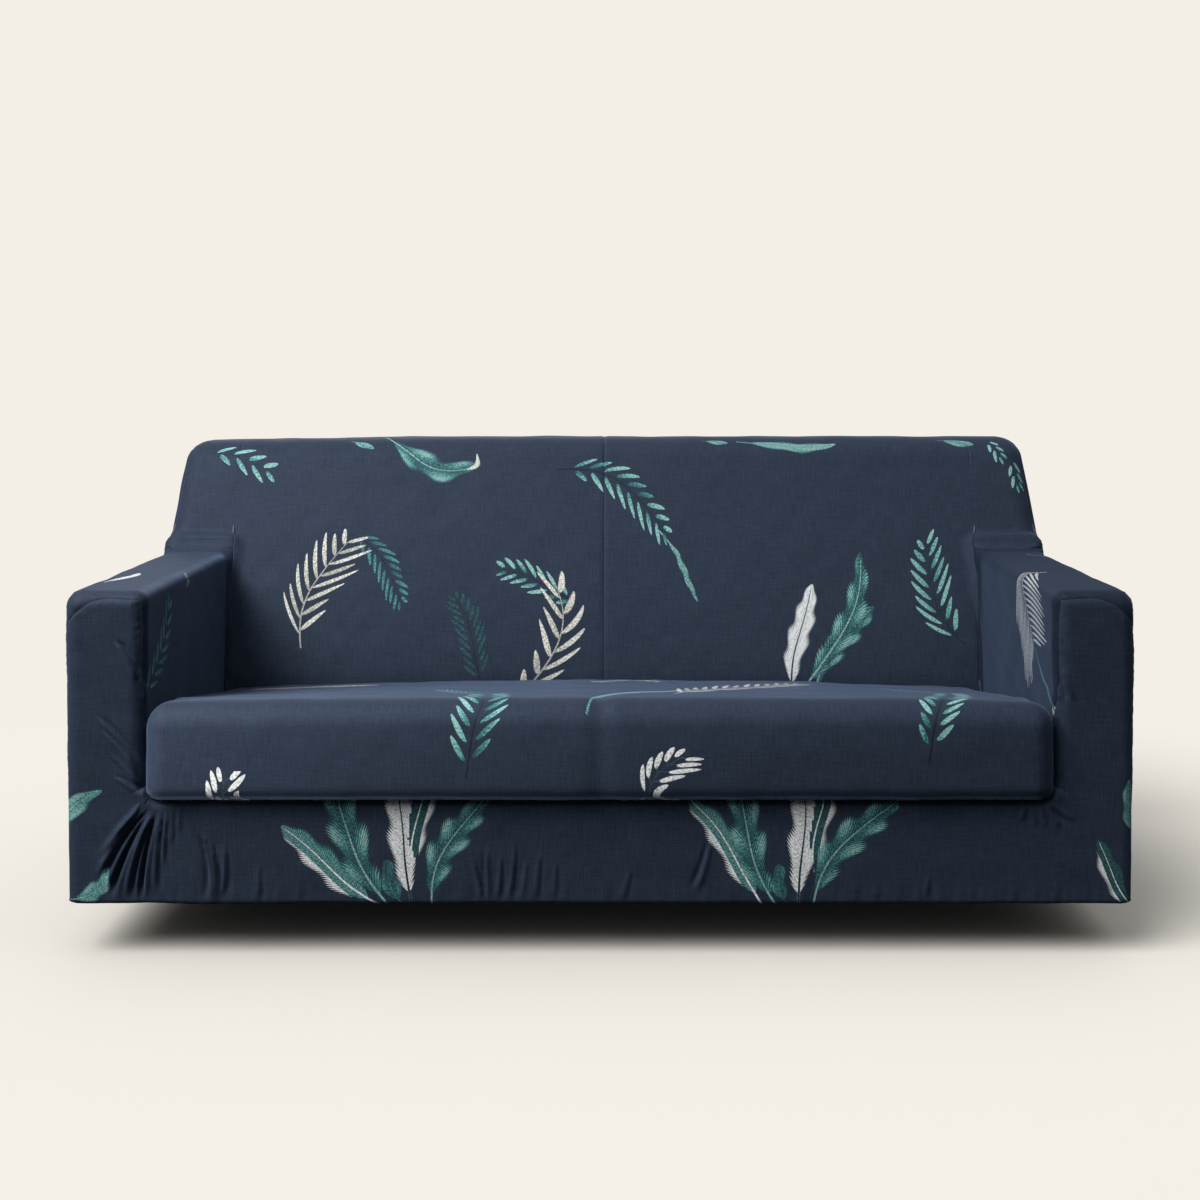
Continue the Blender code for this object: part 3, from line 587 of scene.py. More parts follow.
@lru_cache
def back_end_line(side):
    """The seam round the back's end: up its front edge, over, and along its top edge."""
    corner_z = BACK_HEIGHT - 0.018
    top_y = back_face(HALF_WIDTH, BACK_HEIGHT) + 0.045
    points = [
        (half_width(z) - 0.008, back_face(HALF_WIDTH, z) + 0.016, z)
        for z in BACK_ROWS_ABOVE_ARM[:-1]
    ]
    points += [
        (half_width(0.83) - 0.009, back_face(HALF_WIDTH, 0.83) + 0.020, 0.826),
        (half_width(0.85) - 0.012, back_face(HALF_WIDTH, 0.85) + 0.030, 0.842),
        (half_width(0.86) - 0.013, top_y, corner_z + 0.004),
    ]
    points += [(half_width(0.86) - 0.013, y, corner_z + 0.005) for y in (0.825, 0.850)]
    points += [(half_width(0.86) - 0.016, DEPTH - 0.012, corner_z + 0.002)]
    return settle(mirrored(points, side))


@lru_cache
def end_flap_grid(side):
    """The end of the back above the arm: rows upwards, columns to the rear."""
    seam = back_end_line(side)
    rows = len(BACK_ROWS_ABOVE_ARM)
    front = seam[:rows]
    top = seam[rows - 1 :]
    columns = len(top)
    level = ARM_SEAM_HEIGHT
    first = arm_rear_line(side)[-1]
    rear_x, rear_y = HALF_WIDTH - REAR_SEAM_IN, DEPTH - REAR_SEAM_IN
    rear = [(rear_x, rear_y, level)]
    rear += [(half_width(z) - REAR_SEAM_IN, rear_y, z) for z in BACK_ROWS_ABOVE_ARM[:-1]]
    rear = np.vstack([settle(mirrored(rear, side)), top[-1:]])
    ends = line((mirrored(first, side), 1), ((rear_x, rear_y, level), columns - 1))
    bottom = settle(mirrored(ends, side))
    bottom[0], bottom[-1] = first, rear[0]
    left = np.vstack([first[None], front])
    grid = patch(bottom, top, left, rear)
    grid[1:-1, 1:-1] = settle(grid[1:-1, 1:-1])
    return grid


def back_line(column, side):
    """The back's rows in one of the seat's columns, from the crease to the rear."""
    x = SEAT_COLUMNS[column]
    crease = seat_lines(side)[column, -1]
    above = len(ARM_FRONT_ABOVE_SEAT) + 1
    heights = np.linspace(crease[2], ARM_SEAM_HEIGHT, above + 1)[1:]
    rows = [(x, back_face(x, z), z) for z in heights] + upper_back_rows(x)
    return np.vstack([crease[None], settle(mirrored(rows, side))])


def upper_back_rows(x):
    """The back's rows above the arms, as far as its rear top edge."""
    rows = [(x, back_face(x, z), z) for z in BACK_ROWS_ABOVE_ARM[:-1]]
    rows += [(x, back_face(x, 0.84) + 0.001, 0.840), (x, back_face(x, 0.86) + 0.010, 0.860)]
    rows += [(x, back_face(x, BACK_HEIGHT) + 0.040, BACK_HEIGHT)]
    rows += [(x, 0.825, BACK_HEIGHT), (x, 0.850, BACK_HEIGHT)]
    rows += [(x, DEPTH - REAR_SEAM_IN, BACK_HEIGHT - REAR_SEAM_IN)]
    return rows


@lru_cache
def back_grids(side):
    """The half back between the arms, and its part above the arm."""
    lines = [back_line(column, side) for column in range(len(SEAT_COLUMNS))]
    inner, _ = arm_grids(side)
    corner = inner[-1, : len(ARM_FRONT_ABOVE_SEAT) + 2]
    over_arm = settle(mirrored(upper_back_rows(ARM_INNER), side))
    lines.append(np.vstack([corner, over_arm]))
    between_arms = np.stack(lines, axis=1)

    crease = inner[-1, len(ARM_FRONT_ABOVE_SEAT) + 1 :][: ARM_STEPS[side] + 1]
    end = np.vstack([crease[-1:], back_end_line(side)])
    start = lines[-1][len(ARM_FRONT_ABOVE_SEAT) + 1 :]
    outer = (HALF_WIDTH - BACK_TAPER) - 0.030
    share = np.linspace(0, 1, ARM_STEPS[side] + 1)
    top = [upper_back_rows(ARM_INNER + (outer - ARM_INNER) * s)[-1] for s in share]
    top = settle(mirrored(top, side))
    top[0], top[-1] = start[-1], end[-1]
    above_arm = patch(crease, top, start, end)
    above_arm[1:-1, 1:-1] = settle(above_arm[1:-1, 1:-1])
    return between_arms, above_arm


def rear_grid():
    """The outside back: rows from its top seam down, columns from left to right."""
    tops = []
    for side in (LEFT, RIGHT):
        between_arms, above_arm = back_grids(side)
        half = np.vstack([between_arms[-1], above_arm[-1, 1:]])
        tops.append(half[:0:-1] if side == LEFT else half)
    top = np.vstack(tops)
    ends = []
    for side in (LEFT, RIGHT):
        flap = end_flap_grid(side)[::-1, -1]
        lower = [(HALF_WIDTH - REAR_SEAM_IN, DEPTH - REAR_SEAM_IN, z) for z in REAR_HEIGHTS]
        _, behind_arm = arm_grids(side)
        hem = behind_arm[-1, -len(HEM_ROWS) :]
        ends.append(np.vstack([flap, settle(mirrored(lower, side)), hem]))
    left, right = ends
    share = (top[:, :1] - top[0, 0]) / (top[-1, 0] - top[0, 0])
    bottom = left[-1] * (1 - share) + right[-1] * share
    grid = left[:, None] * (1 - share) + right[:, None] * share
    grid[0], grid[-1] = top, bottom
    for row, inward in ((-4, 0), (-3, HEM_MIDDLE), (-2, HEM_START)):
        grid[row, 1:-1, 1] = DEPTH - inward
    grid[1:-1, 1:-1] = settle(grid[1:-1, 1:-1])
    return grid


# --- Folds and other relief of the cloth -------------------------------------------------

# Pulls on the front, in its own plane: a soft ridge along an arc, with a hollow beside it.
FRONT_PULLS = (
    # x1, z1, x2, z2, bend, half width, height, hollow: above 0 on the left of its way
    (-0.792, 0.270, -0.846, 0.206, 0.02, 0.0042, 0.0039, 0.6),
    (-0.786, 0.266, -0.868, 0.168, -0.03, 0.0049, 0.0067, 0.8),
    (-0.781, 0.262, -0.872, 0.134, -0.05, 0.0052, 0.0091, 0.9),
    (-0.777, 0.258, -0.858, 0.104, -0.05, 0.0047, 0.0082, 0.8),
    (-0.774, 0.256, -0.838, 0.094, -0.05, 0.0045, 0.0076, -0.8),
    (-0.771, 0.254, -0.822, 0.092, -0.05, 0.0049, 0.0093, 0.9),
    (-0.767, 0.254, -0.804, 0.090, -0.05, 0.0044, 0.0082, 0.8),
    (-0.763, 0.255, -0.786, 0.090, -0.04, 0.0042, 0.0067, -0.8),
    (-0.757, 0.257, -0.770, 0.104, -0.03, 0.0040, 0.0052, 0.7),
    (-0.748, 0.258, -0.757, 0.150, -0.02, 0.0037, 0.0039, 0.7),
    (-0.739, 0.259, -0.744, 0.190, 0.00, 0.0034, 0.0030, 0.7),
    (-0.729, 0.259, -0.727, 0.215, 0.00, 0.0034, 0.0024, 0.6),
    (-0.692, 0.222, -0.674, 0.091, 0.07, 0.0044, 0.0060, -0.9),
    (-0.676, 0.206, -0.664, 0.092, 0.04, 0.0039, 0.0045, 0.8),
    (-0.650, 0.200, -0.660, 0.092, 0.05, 0.0044, 0.0043, 0.7),
    (-0.590, 0.160, -0.592, 0.096, 0.00, 0.0042, 0.0022, 0.6),
    (-0.222, 0.172, -0.204, 0.094, 0.02, 0.0035, 0.0032, 0.6),
    (-0.196, 0.196, -0.194, 0.094, 0.00, 0.0035, 0.0037, -0.7),
    (-0.172, 0.176, -0.178, 0.094, 0.02, 0.0037, 0.0035, 0.6),
    (-0.148, 0.200, -0.160, 0.094, 0.03, 0.0034, 0.0032, 0.7),
    (-0.128, 0.172, -0.138, 0.094, 0.02, 0.0042, 0.0028, -0.6),
    (-0.104, 0.182, -0.112, 0.096, 0.00, 0.0042, 0.0024, 0.6),
    (-0.076, 0.166, -0.080, 0.096, 0.00, 0.0042, 0.0020, 0.6),
    (0.052, 0.150, 0.038, 0.096, 0.00, 0.0048, 0.0018, 0.5),
    (0.192, 0.206, 0.164, 0.108, 0.03, 0.0046, 0.0038, -0.9),
    (0.570, 0.140, 0.562, 0.100, 0.00, 0.0042, 0.0018, 0.6),
    (-0.842, 0.548, -0.800, 0.470, 0.06, 0.0052, 0.0052, 0.9),
    (-0.800, 0.486, -0.788, 0.430, 0.04, 0.0044, 0.0034, 0.7),
    (-0.874, 0.418, -0.798, 0.318, 0.05, 0.0046, 0.0042, 0.9),
    (-0.862, 0.392, -0.796, 0.300, 0.05, 0.0042, 0.0036, 0.8),
    (-0.850, 0.352, -0.794, 0.286, 0.04, 0.0040, 0.0030, -0.7),
    (-0.842, 0.312, -0.794, 0.276, 0.03, 0.0040, 0.0028, 0.7),
    (0.735, 0.258, 0.727, 0.234, 0.00, 0.0038, 0.0026, 0.6),
    (0.748, 0.258, 0.752, 0.226, 0.00, 0.0038, 0.0030, -0.7),
    (0.760, 0.257, 0.772, 0.222, 0.02, 0.0042, 0.0034, 0.7),
    (0.772, 0.258, 0.798, 0.222, 0.02, 0.0042, 0.0038, 0.7),
    (0.782, 0.262, 0.822, 0.234, 0.02, 0.0042, 0.0034, -0.7),
    (0.790, 0.480, 0.800, 0.440, -0.03, 0.0046, 0.0034, 0.7),
    (0.800, 0.500, 0.822, 0.440, -0.05, 0.0050, 0.0030, -0.7),
)
SIDES_IN = 0.009  # the elastic hem draws the sides in this far
PULL_REACH = 0.055  # the pulls lie on the front, and fade out this far behind its plane

# Soft pulls over the seat, in plan
SEAT_PULLS = (
    (-0.700, 0.030, -0.775, 0.140, 0.05, 0.016, 0.0022, 0.5),
    (0.700, 0.028, 0.776, 0.130, -0.05, 0.016, 0.0020, -0.5),
    (-0.740, 0.480, -0.600, 0.585, 0.08, 0.018, 0.0022, 0.5),
    (0.745, 0.470, 0.610, 0.585, -0.08, 0.018, 0.0022, -0.5),
    (-0.120, 0.560, -0.020, 0.420, 0.05, 0.020, 0.0016, 0.5),
    (0.130, 0.565, 0.030, 0.430, -0.05, 0.020, 0.0016, 0.5),
)

# Pulls on the sides and the rear: how far from the corner each starts and ends
SIDE_PULLS = (
    # y1, z1, y2, z2, bend, half width, height, hollow
    (0.075, 0.092, 0.110, 0.190, 0.04, 0.010, 0.0032, 0.6),
    (0.160, 0.092, 0.168, 0.160, 0.00, 0.009, 0.0022, 0.5),
    (0.330, 0.092, 0.345, 0.170, 0.03, 0.011, 0.0024, -0.5),
    (0.520, 0.092, 0.512, 0.180, -0.03, 0.010, 0.0026, 0.5),
    (0.690, 0.092, 0.672, 0.200, -0.03, 0.010, 0.0030, 0.6),
    (0.800, 0.092, 0.770, 0.215, -0.04, 0.010, 0.0036, 0.7),
    (0.640, 0.610, 0.520, 0.540, 0.06, 0.013, 0.0034, 0.6),
    (0.655, 0.600, 0.580, 0.490, 0.05, 0.012, 0.0028, -0.5),
    (0.700, 0.590, 0.680, 0.480, 0.03, 0.012, 0.0022, 0.5),
)
REAR_PULLS = (
    (-0.870, 0.096, -0.800, 0.230, 0.04, 0.012, 0.0042, 0.6),
    (-0.800, 0.094, -0.760, 0.190, 0.03, 0.010, 0.0030, -0.6),
    (-0.560, 0.094, -0.556, 0.180, 0.00, 0.010, 0.0024, 0.5),
    (-0.240, 0.094, -0.250, 0.170, 0.02, 0.010, 0.0022, 0.5),
    (0.060, 0.094, 0.066, 0.190, 0.02, 0.010, 0.0024, -0.5),
    (0.380, 0.094, 0.372, 0.180, 0.00, 0.010, 0.0022, 0.5),
    (0.700, 0.094, 0.690, 0.200, 0.02, 0.010, 0.0028, 0.5),
    (0.868, 0.096, 0.792, 0.235, -0.04, 0.012, 0.0042, -0.6),
    (0.860, 0.820, 0.740, 0.730, 0.05, 0.014, 0.0030, 0.5),
    (-0.860, 0.815, -0.750, 0.720, -0.05, 0.014, 0.0030, 0.5),
)


def pulls(a, b, table):
    """Height of the pulls in a table, over a surface with the coordinates a and b."""
    total = np.zeros(a.shape)
    for a1, b1, a2, b2, bend, half, height, hollow in table:
        run = np.hypot(a2 - a1, b2 - b1)
        along = ((a - a1) * (a2 - a1) + (b - b1) * (b2 - b1)) / run**2
        off = ((b - b1) * (a2 - a1) - (a - a1) * (b2 - b1)) / run
        off = off - 4 * bend * run * along * (1 - along)
        half = half * (0.55 + 0.75 * np.clip(along, 0, 1))
        fade = ease(along / 0.22) * ease((1 - along) / 0.30)
        ridge = np.exp(-((off / half) ** 2))
        beside = np.exp(-(((off - np.sign(hollow) * 1.7 * half) / half) ** 2))
        total += height * fade * (ridge - abs(hollow) * beside)
    return total


def waviness(points, length, seed):
    """Smooth unevenness about 1 high, with waves of about the given length."""
    random = np.random.default_rng(seed)
    total = np.zeros(points.shape[:-1])
    for _ in range(14):
        way = random.normal(size=3)
        way *= 2 * np.pi / (length * random.uniform(0.7, 1.6) * np.linalg.norm(way))
        total += np.sin(points @ way + random.uniform(0, 2 * np.pi))
    return total / 3.7


def gathers(along, height, seed):
    """Fine upright ripples that an elastic hem draws up, on a strip above it."""
    random = np.random.default_rng(seed)
    total = np.zeros(along.shape)
    for _ in range(9):
        length, shift = random.uniform(0.016, 0.045), random.uniform(0, 6.28)
        total += np.sin(2 * np.pi * along / length + shift)
    above = (height - HEM_HEIGHT) / 0.022
    return total / 3 * above * np.exp(1 - above**2) * (above > 0)


def relief(points, normals):
    """How far the cloth stands out from the form at each point, in metres."""
    x, y, z = points.T
    front = ease((PULL_REACH - y) / PULL_REACH) * (normals[:, 1] < -0.15)
    top = ease((normals[:, 2] - 0.3) / 0.4)
    side = ease((np.abs(normals[:, 0]) - 0.6) / 0.3) * (np.abs(x) > HALF_WIDTH - 0.04)
    rear = ease((normals[:, 1] - 0.6) / 0.3) * (y > DEPTH - 0.04)
    below_tuck = z < SEAT_HEIGHT + 0.12
    total = pulls(x, z, FRONT_PULLS) * front * (y >= -0.012) * below_tuck
    total += pulls(x, y, SEAT_PULLS) * top * (z < SEAT_HEIGHT + 0.02) * (np.abs(x) < SEAT_END)
    total += pulls(y, z, SIDE_PULLS) * side
    total += pulls(x, z, REAR_PULLS) * rear
    total += 0.0007 * waviness(points, 0.16, 11) + 0.0003 * waviness(points, 0.055, 12)
    along = np.where(np.abs(normals[:, 0]) > 0.7, y, x)
    total += 0.0005 * gathers(along, z, 13)
    total -= SIDES_IN * normals[:, 0] ** 2 * ease((ARM_HEIGHT - 0.1 - z) / ARM_HEIGHT) * side
    return total


# --- The leaf print ----------------------------------------------------------------------

# Kinds of printed leaf. A spray has leaflets along both sides of a dark stem, a stalk has
# them on a stem of their own colour, and a blade is one long wavy leaf with a midrib.
SPRAY, STALK, BLADE = 0.0, 0.3, 1.0

# Inks, as places on one ramp of colours
LINE, DEEP_TEAL, TEAL, MINT, TAUPE, CREAM, WHITE = 0.0, 0.15, 0.32, 0.50, 0.66, 0.80, 1.02

# Leaves by where the picture shows them: the pixel at the base of the stem and the one at
# the tip, how far the middle bows to the left of that way, and half the leaf's width, both
# as shares of its length. A spray then has its pairs of leaflets and how full each is, and
# a blade its waves and how much of one side has the second ink (to the right if negative).
PICTURE_LEAVES = {
    "front_panel": (
        # x, y, tip x, tip y, bow, reach, kind, count, fullness or trim, ink, second ink
        (380, 905, 281, 826, 0.02, 0.120, BLADE, 3.4, 0.52, TEAL, WHITE),
        (391, 908, 324, 766, 0.05, 0.125, BLADE, 4.0, 0.0, DEEP_TEAL, MINT),
        (412, 906, 386, 766, -0.03, 0.112, BLADE, 4.0, 0.0, WHITE, LINE),
        (402, 903, 386, 860, 0.10, 0.260, BLADE, 1.5, 0.0, DEEP_TEAL, TEAL),
        (413, 880, 430, 768, 0.05, 0.125, BLADE, 3.4, -0.45, DEEP_TEAL, WHITE),
        (432, 908, 487, 798, 0.12, 0.140, BLADE, 4.0, 0.0, DEEP_TEAL, MINT),
        (762, 905, 687, 799, -0.05, 0.110, BLADE, 3.4, 0.52, TEAL, WHITE),
        (778, 908, 734, 768, 0.05, 0.120, BLADE, 4.0, 0.0, DEEP_TEAL, MINT),
        (798, 908, 799, 766, -0.04, 0.112, BLADE, 4.0, 0.0, WHITE, LINE),
        (786, 903, 779, 864, 0.10, 0.240, BLADE, 1.5, 0.0, DEEP_TEAL, TEAL),
        (814, 876, 833, 770, 0.05, 0.125, BLADE, 3.4, -0.45, DEEP_TEAL, WHITE),
        (813, 908, 899, 801, 0.12, 0.130, BLADE, 4.0, 0.0, DEEP_TEAL, MINT),
        (60, 866, 101, 790, 0.24, 0.140, BLADE, 2.4, 0.0, TEAL, MINT),
        (70, 900, 108, 868, -0.20, 0.200, BLADE, 2.2, 0.0, TEAL, MINT),
        (1136, 910, 1098, 840, 0.05, 0.150, BLADE, 2.4, 0.52, DEEP_TEAL, WHITE),
        (1135, 836, 1129, 780, 0.05, 0.140, BLADE, 2.0, 0.0, TEAL, MINT),
    ),
    "seat_panel": (
        (218, 826, 226, 776, 0.00, 0.52, SPRAY, 3.0, 0.40, CREAM, WHITE),
        (648, 818, 686, 756, 0.18, 0.34, SPRAY, 5.0, 0.40, CREAM, WHITE),
        (467, 770, 487, 694, -0.04, 0.21, SPRAY, 8.0, 0.30, DEEP_TEAL, MINT),
        (484, 693, 436, 690, 0.06, 0.12, SPRAY, 9.0, 0.30, TEAL, MINT),
        (931, 752, 948, 694, 0.00, 0.14, SPRAY, 11.0, 0.34, DEEP_TEAL, MINT),
        (946, 693, 880, 689, 0.06, 0.12, SPRAY, 9.0, 0.30, TEAL, MINT),
        (588, 707, 692, 690, 0.14, 0.055, BLADE, 4.0, 0.0, MINT, TEAL),
        (680, 692, 802, 684, 0.04, 0.14, STALK, 13.0, 0.30, TAUPE, CREAM),
        (246, 690, 376, 685, 0.02, 0.12, STALK, 13.0, 0.30, TAUPE, CREAM),
        (664, 681, 592, 681, 0.00, 0.11, STALK, 8.0, 0.30, TAUPE, CREAM),
    ),
    "back_panel": (
        (386, 424, 482, 464, -0.20, 0.120, BLADE, 2.5, 0.0, DEEP_TEAL, MINT),
        (464, 470, 477, 453, -0.32, 0.150, BLADE, 1.0, 0.0, CREAM, CREAM),
        (352, 433, 374, 447, 0.00, 0.180, BLADE, 1.0, 0.0, TEAL, MINT),
        (210, 453, 276, 474, 0.06, 0.210, SPRAY, 4.2, 0.24, TEAL, MINT),
        (574, 601, 494, 568, -0.05, 0.165, SPRAY, 7.5, 0.30, DEEP_TEAL, MINT),
        (518, 696, 549, 571, -0.21, 0.190, STALK, 6.5, 0.24, TAUPE, CREAM),
        (480, 680, 454, 596, -0.06, 0.190, SPRAY, 10.0, 0.34, DEEP_TEAL, DEEP_TEAL),
        (300, 640, 352, 538, 0.12, 0.260, STALK, 8.0, 0.24, TAUPE, CREAM),
        (356, 536, 402, 604, 0.10, 0.180, SPRAY, 9.0, 0.32, DEEP_TEAL, TEAL),
        (566, 469, 668, 537, 0.15, 0.150, SPRAY, 9.0, 0.28, DEEP_TEAL, MINT),
        (662, 534, 698, 602, 0.04, 0.045, BLADE, 4.0, 0.0, TEAL, MINT),
        (742, 436, 836, 440, -0.06, 0.085, BLADE, 3.0, 0.0, MINT, TEAL),
        (704, 434, 728, 438, 0.00, 0.180, BLADE, 1.0, 0.0, TEAL, MINT),
        (940, 432, 974, 440, 0.00, 0.180, BLADE, 1.0, 0.0, TEAL, MINT),
        (986, 434, 1004, 460, 0.00, 0.260, SPRAY, 3.0, 0.36, TEAL, MINT),
        (1010, 458, 1021, 488, 0.00, 0.260, SPRAY, 3.0, 0.36, TEAL, MINT),
        (792, 694, 812, 584, 0.04, 0.105, BLADE, 4.4, 0.0, WHITE, LINE),
        (800, 692, 860, 552, -0.10, 0.085, BLADE, 4.4, 0.0, DEEP_TEAL, MINT),
        (814, 694, 874, 606, 0.08, 0.115, BLADE, 4.0, 0.0, DEEP_TEAL, MINT),
        (960, 640, 925, 540, 0.10, 0.220, SPRAY, 8.0, 0.30, TEAL, MINT),
    ),
    "arm_panel_left": (
        (146, 694, 170, 600, -0.10, 0.180, SPRAY, 7.0, 0.26, MINT, TEAL),
        (106, 582, 140, 573, 0.00, 0.085, BLADE, 2.0, 0.0, WHITE, WHITE),
        (182, 572, 188, 584, 0.00, 0.300, SPRAY, 2.0, 0.36, WHITE, CREAM),
    ),
    "arm_panel_right": (
        (1041, 572, 1034, 642, 0.05, 0.540, STALK, 13.0, 0.30, WHITE, WHITE),
        (1036, 652, 1042, 706, 0.00, 0.035, BLADE, 3.0, 0.0, DEEP_TEAL, MINT),
        (1046, 716, 1052, 706, 0.00, 0.300, BLADE, 1.0, 0.0, WHITE, WHITE),
    ),
}

# Where the picture doesn't show a panel, leaves are strewn over this part of its plane
STREWN_PLACES = {
    # least and most of both flat coordinates, then the seed
    "arm_panel_left": (0.06, 0.85, 0.80, 1.28, 31),
    "arm_panel_right": (0.06, 0.85, 0.80, 1.28, 32),
    "rear_panel": (-0.88, 0.88, 0.12, 0.83, 33),
}
STREWN_KINDS = (
    # length, bow, reach, kind, count, fullness or trim, ink, second ink
    (0.235, 0.14, 0.140, SPRAY, 10.0, 0.28, DEEP_TEAL, MINT),
    (0.200, -0.10, 0.260, STALK, 6.0, 0.22, TAUPE, CREAM),
    (0.225, 0.06, 0.130, BLADE, 3.0, 0.0, DEEP_TEAL, MINT),
    (0.210, -0.03, 0.130, BLADE, 4.0, 0.0, WHITE, LINE),
    (0.150, 0.05, 0.220, SPRAY, 9.0, 0.30, DEEP_TEAL, TEAL),
    (0.200, 0.08, 0.115, BLADE, 2.2, 0.45, TEAL, WHITE),
    (0.120, 0.10, 0.360, SPRAY, 4.0, 0.36, CREAM, WHITE),
)
STREWN_APART = 0.205
SWAY = 0.018  # every stem also bends this share of its length to both sides


def flat_place(points, panel):
    """Places on the cloth of a panel laid flat, in metres, for points on the form."""
    x, y, z = points[..., 0], points[..., 1], points[..., 2]
    if panel.startswith("arm"):
        across = np.abs(x) - ARM_INNER
        turn = np.clip((across / ARM_WIDTH - 0.5) / 0.3, -1, 1)
        return np.stack([y, ARM_HEIGHT + across - turn * (z - ARM_HEIGHT)], axis=-1)
    if panel.startswith("seat"):
        return np.stack([x, z + y], axis=-1)
    if panel.startswith("back"):
        return np.stack([x, z + np.maximum(y - back_face(x, z), 0)], axis=-1)
    return np.stack([x, z], axis=-1)


def leaves_of(panel):
    """Every leaf of a panel: base, tip, and the rest of its row in the tables."""
    leaves = []
    table = "back_panel" if panel.startswith("back") else panel
    for row in PICTURE_LEAVES.get(table, ()):
        ends = np.array([seen_at(panel, *row[:2]), seen_at(panel, *row[2:4])])
        base, tip = flat_place(ends, panel)
        leaves.append((base, tip, *row[4:]))
    if panel in STREWN_PLACES:
        least_a, most_a, least_b, most_b, seed = STREWN_PLACES[panel]
        random = np.random.default_rng(seed)
        middles = []
        for _ in range(400):
            middle = random.uniform((least_a, least_b), (most_a, most_b))
            if all(np.hypot(*(middle - other)) > STREWN_APART for other in middles):
                middles.append(middle)
        for number, middle in enumerate(middles):
            length, *shape = STREWN_KINDS[number % len(STREWN_KINDS)]
            angle = random.uniform(0, 2 * np.pi)
            half = length / 2 * np.array([np.cos(angle), np.sin(angle)])
            leaves.append((middle - half, middle + half, *shape))
    return leaves


def lay_print(mesh, name):
    """Stores, at each face corner, the place along and across the leaf printed there.

    Leaves take turns in two layers, so that two that cross don't cut each other off.
    """
    count = len(mesh.loops)
    corner = np.empty(count, int)
    mesh.loops.foreach_get("vertex_index", corner)
    points = np.empty(len(mesh.vertices) * 3)
    mesh.vertices.foreach_get("co", points)
    panel = name.removesuffix("_cloth")
    flat = flat_place(points.reshape(-1, 3) + MOUNT, panel)
    sizes = np.empty(len(mesh.polygons), int)
    mesh.polygons.foreach_get("loop_total", sizes)
    face_of = np.repeat(np.arange(len(sizes)), sizes)
    middle = np.zeros((len(sizes), 2))
    np.add.at(middle, face_of, flat[corner])
    middle /= sizes[:, None]

    flat_map = mesh.uv_layers.new(name="flat_cloth")
    flat_map.data.foreach_set("uv", flat[corner].astype(np.float32).ravel())
    leaves = leaves_of(panel)
    for layer, word in enumerate(("under", "over")):
        place = np.full((count, 3), -9.0)
        shape = np.zeros((len(sizes), 3))
        inks = np.zeros((len(sizes), 3))
        nearest = np.full(len(sizes), 1.45)
        for number, leaf in enumerate(leaves[layer::2]):
            along, off = leaf_place(middle, leaf)
            _, _, _, reach, kind, pairs, fullness, ink, second = leaf
            beyond = np.maximum(np.abs(along - 0.5) * 2, np.abs(off) / reach)
            won = beyond < nearest
            nearest[won] = beyond[won]
            shape[won] = pairs, reach, fullness
            inks[won] = kind, ink, second
            loops = won[face_of]
            there = leaf_place(flat[corner[loops]], leaf)
            place[loops] = np.stack([*there, np.full(loops.sum(), number)], axis=1)
        for part, domain, values in (
            ("place", "CORNER", place),
            ("shape", "FACE", shape),
            ("inks", "FACE", inks),
        ):
            attribute = mesh.attributes.new(f"leaf_{part}_{word}", "FLOAT_VECTOR", domain)
            attribute.data.foreach_set("vector", values.astype(np.float32).ravel())


def leaf_place(flat, leaf):
    """Shares of the leaf's length along its stem from the base, and out to its left."""
    base, tip, bow = leaf[:3]
    length = np.hypot(*(tip - base))
    way = (tip - base) / length
    from_base = (flat - base) / length
    along = from_base @ way
    off = from_base @ np.array([-way[1], way[0]])
    sway = SWAY * np.sin(2 * np.pi * along)
    return along, off - 4 * bow * along * (1 - along) - sway


# --- Materials ---------------------------------------------------------------------------


def linear(code, alpha=1.0):
    """The linear colour of a hex code such as "#2C3648"."""
    shares = [int(code[k : k + 2], 16) / 255 for k in (1, 3, 5)]
    parts = [s / 12.92 if s <= 0.04045 else ((s + 0.055) / 1.055) ** 2.4 for s in shares]
    return (*parts, alpha)


def add(tree, kind, sockets=None, stops=(), **settings):
    """A new node with its settings, and numbers or other nodes' outputs in its sockets.

    A colour ramp also gets its stops: the place and the colour of each.
    """
    node = tree.nodes.new(kind)
    for name, value in settings.items():
        setattr(node, name, value)
    for number, (place, colour) in enumerate(stops):
        if number == len(node.color_ramp.elements):
            node.color_ramp.elements.new(1.0)
        node.color_ramp.elements[number].position = place
        node.color_ramp.elements[number].color = (*list(colour)[:3], 1.0)
    for name, value in (sockets or {}).items():
        if isinstance(value, bpy.types.NodeSocket):
            tree.links.new(value, node.inputs[name])
        else:
            node.inputs[name].default_value = value
    return node


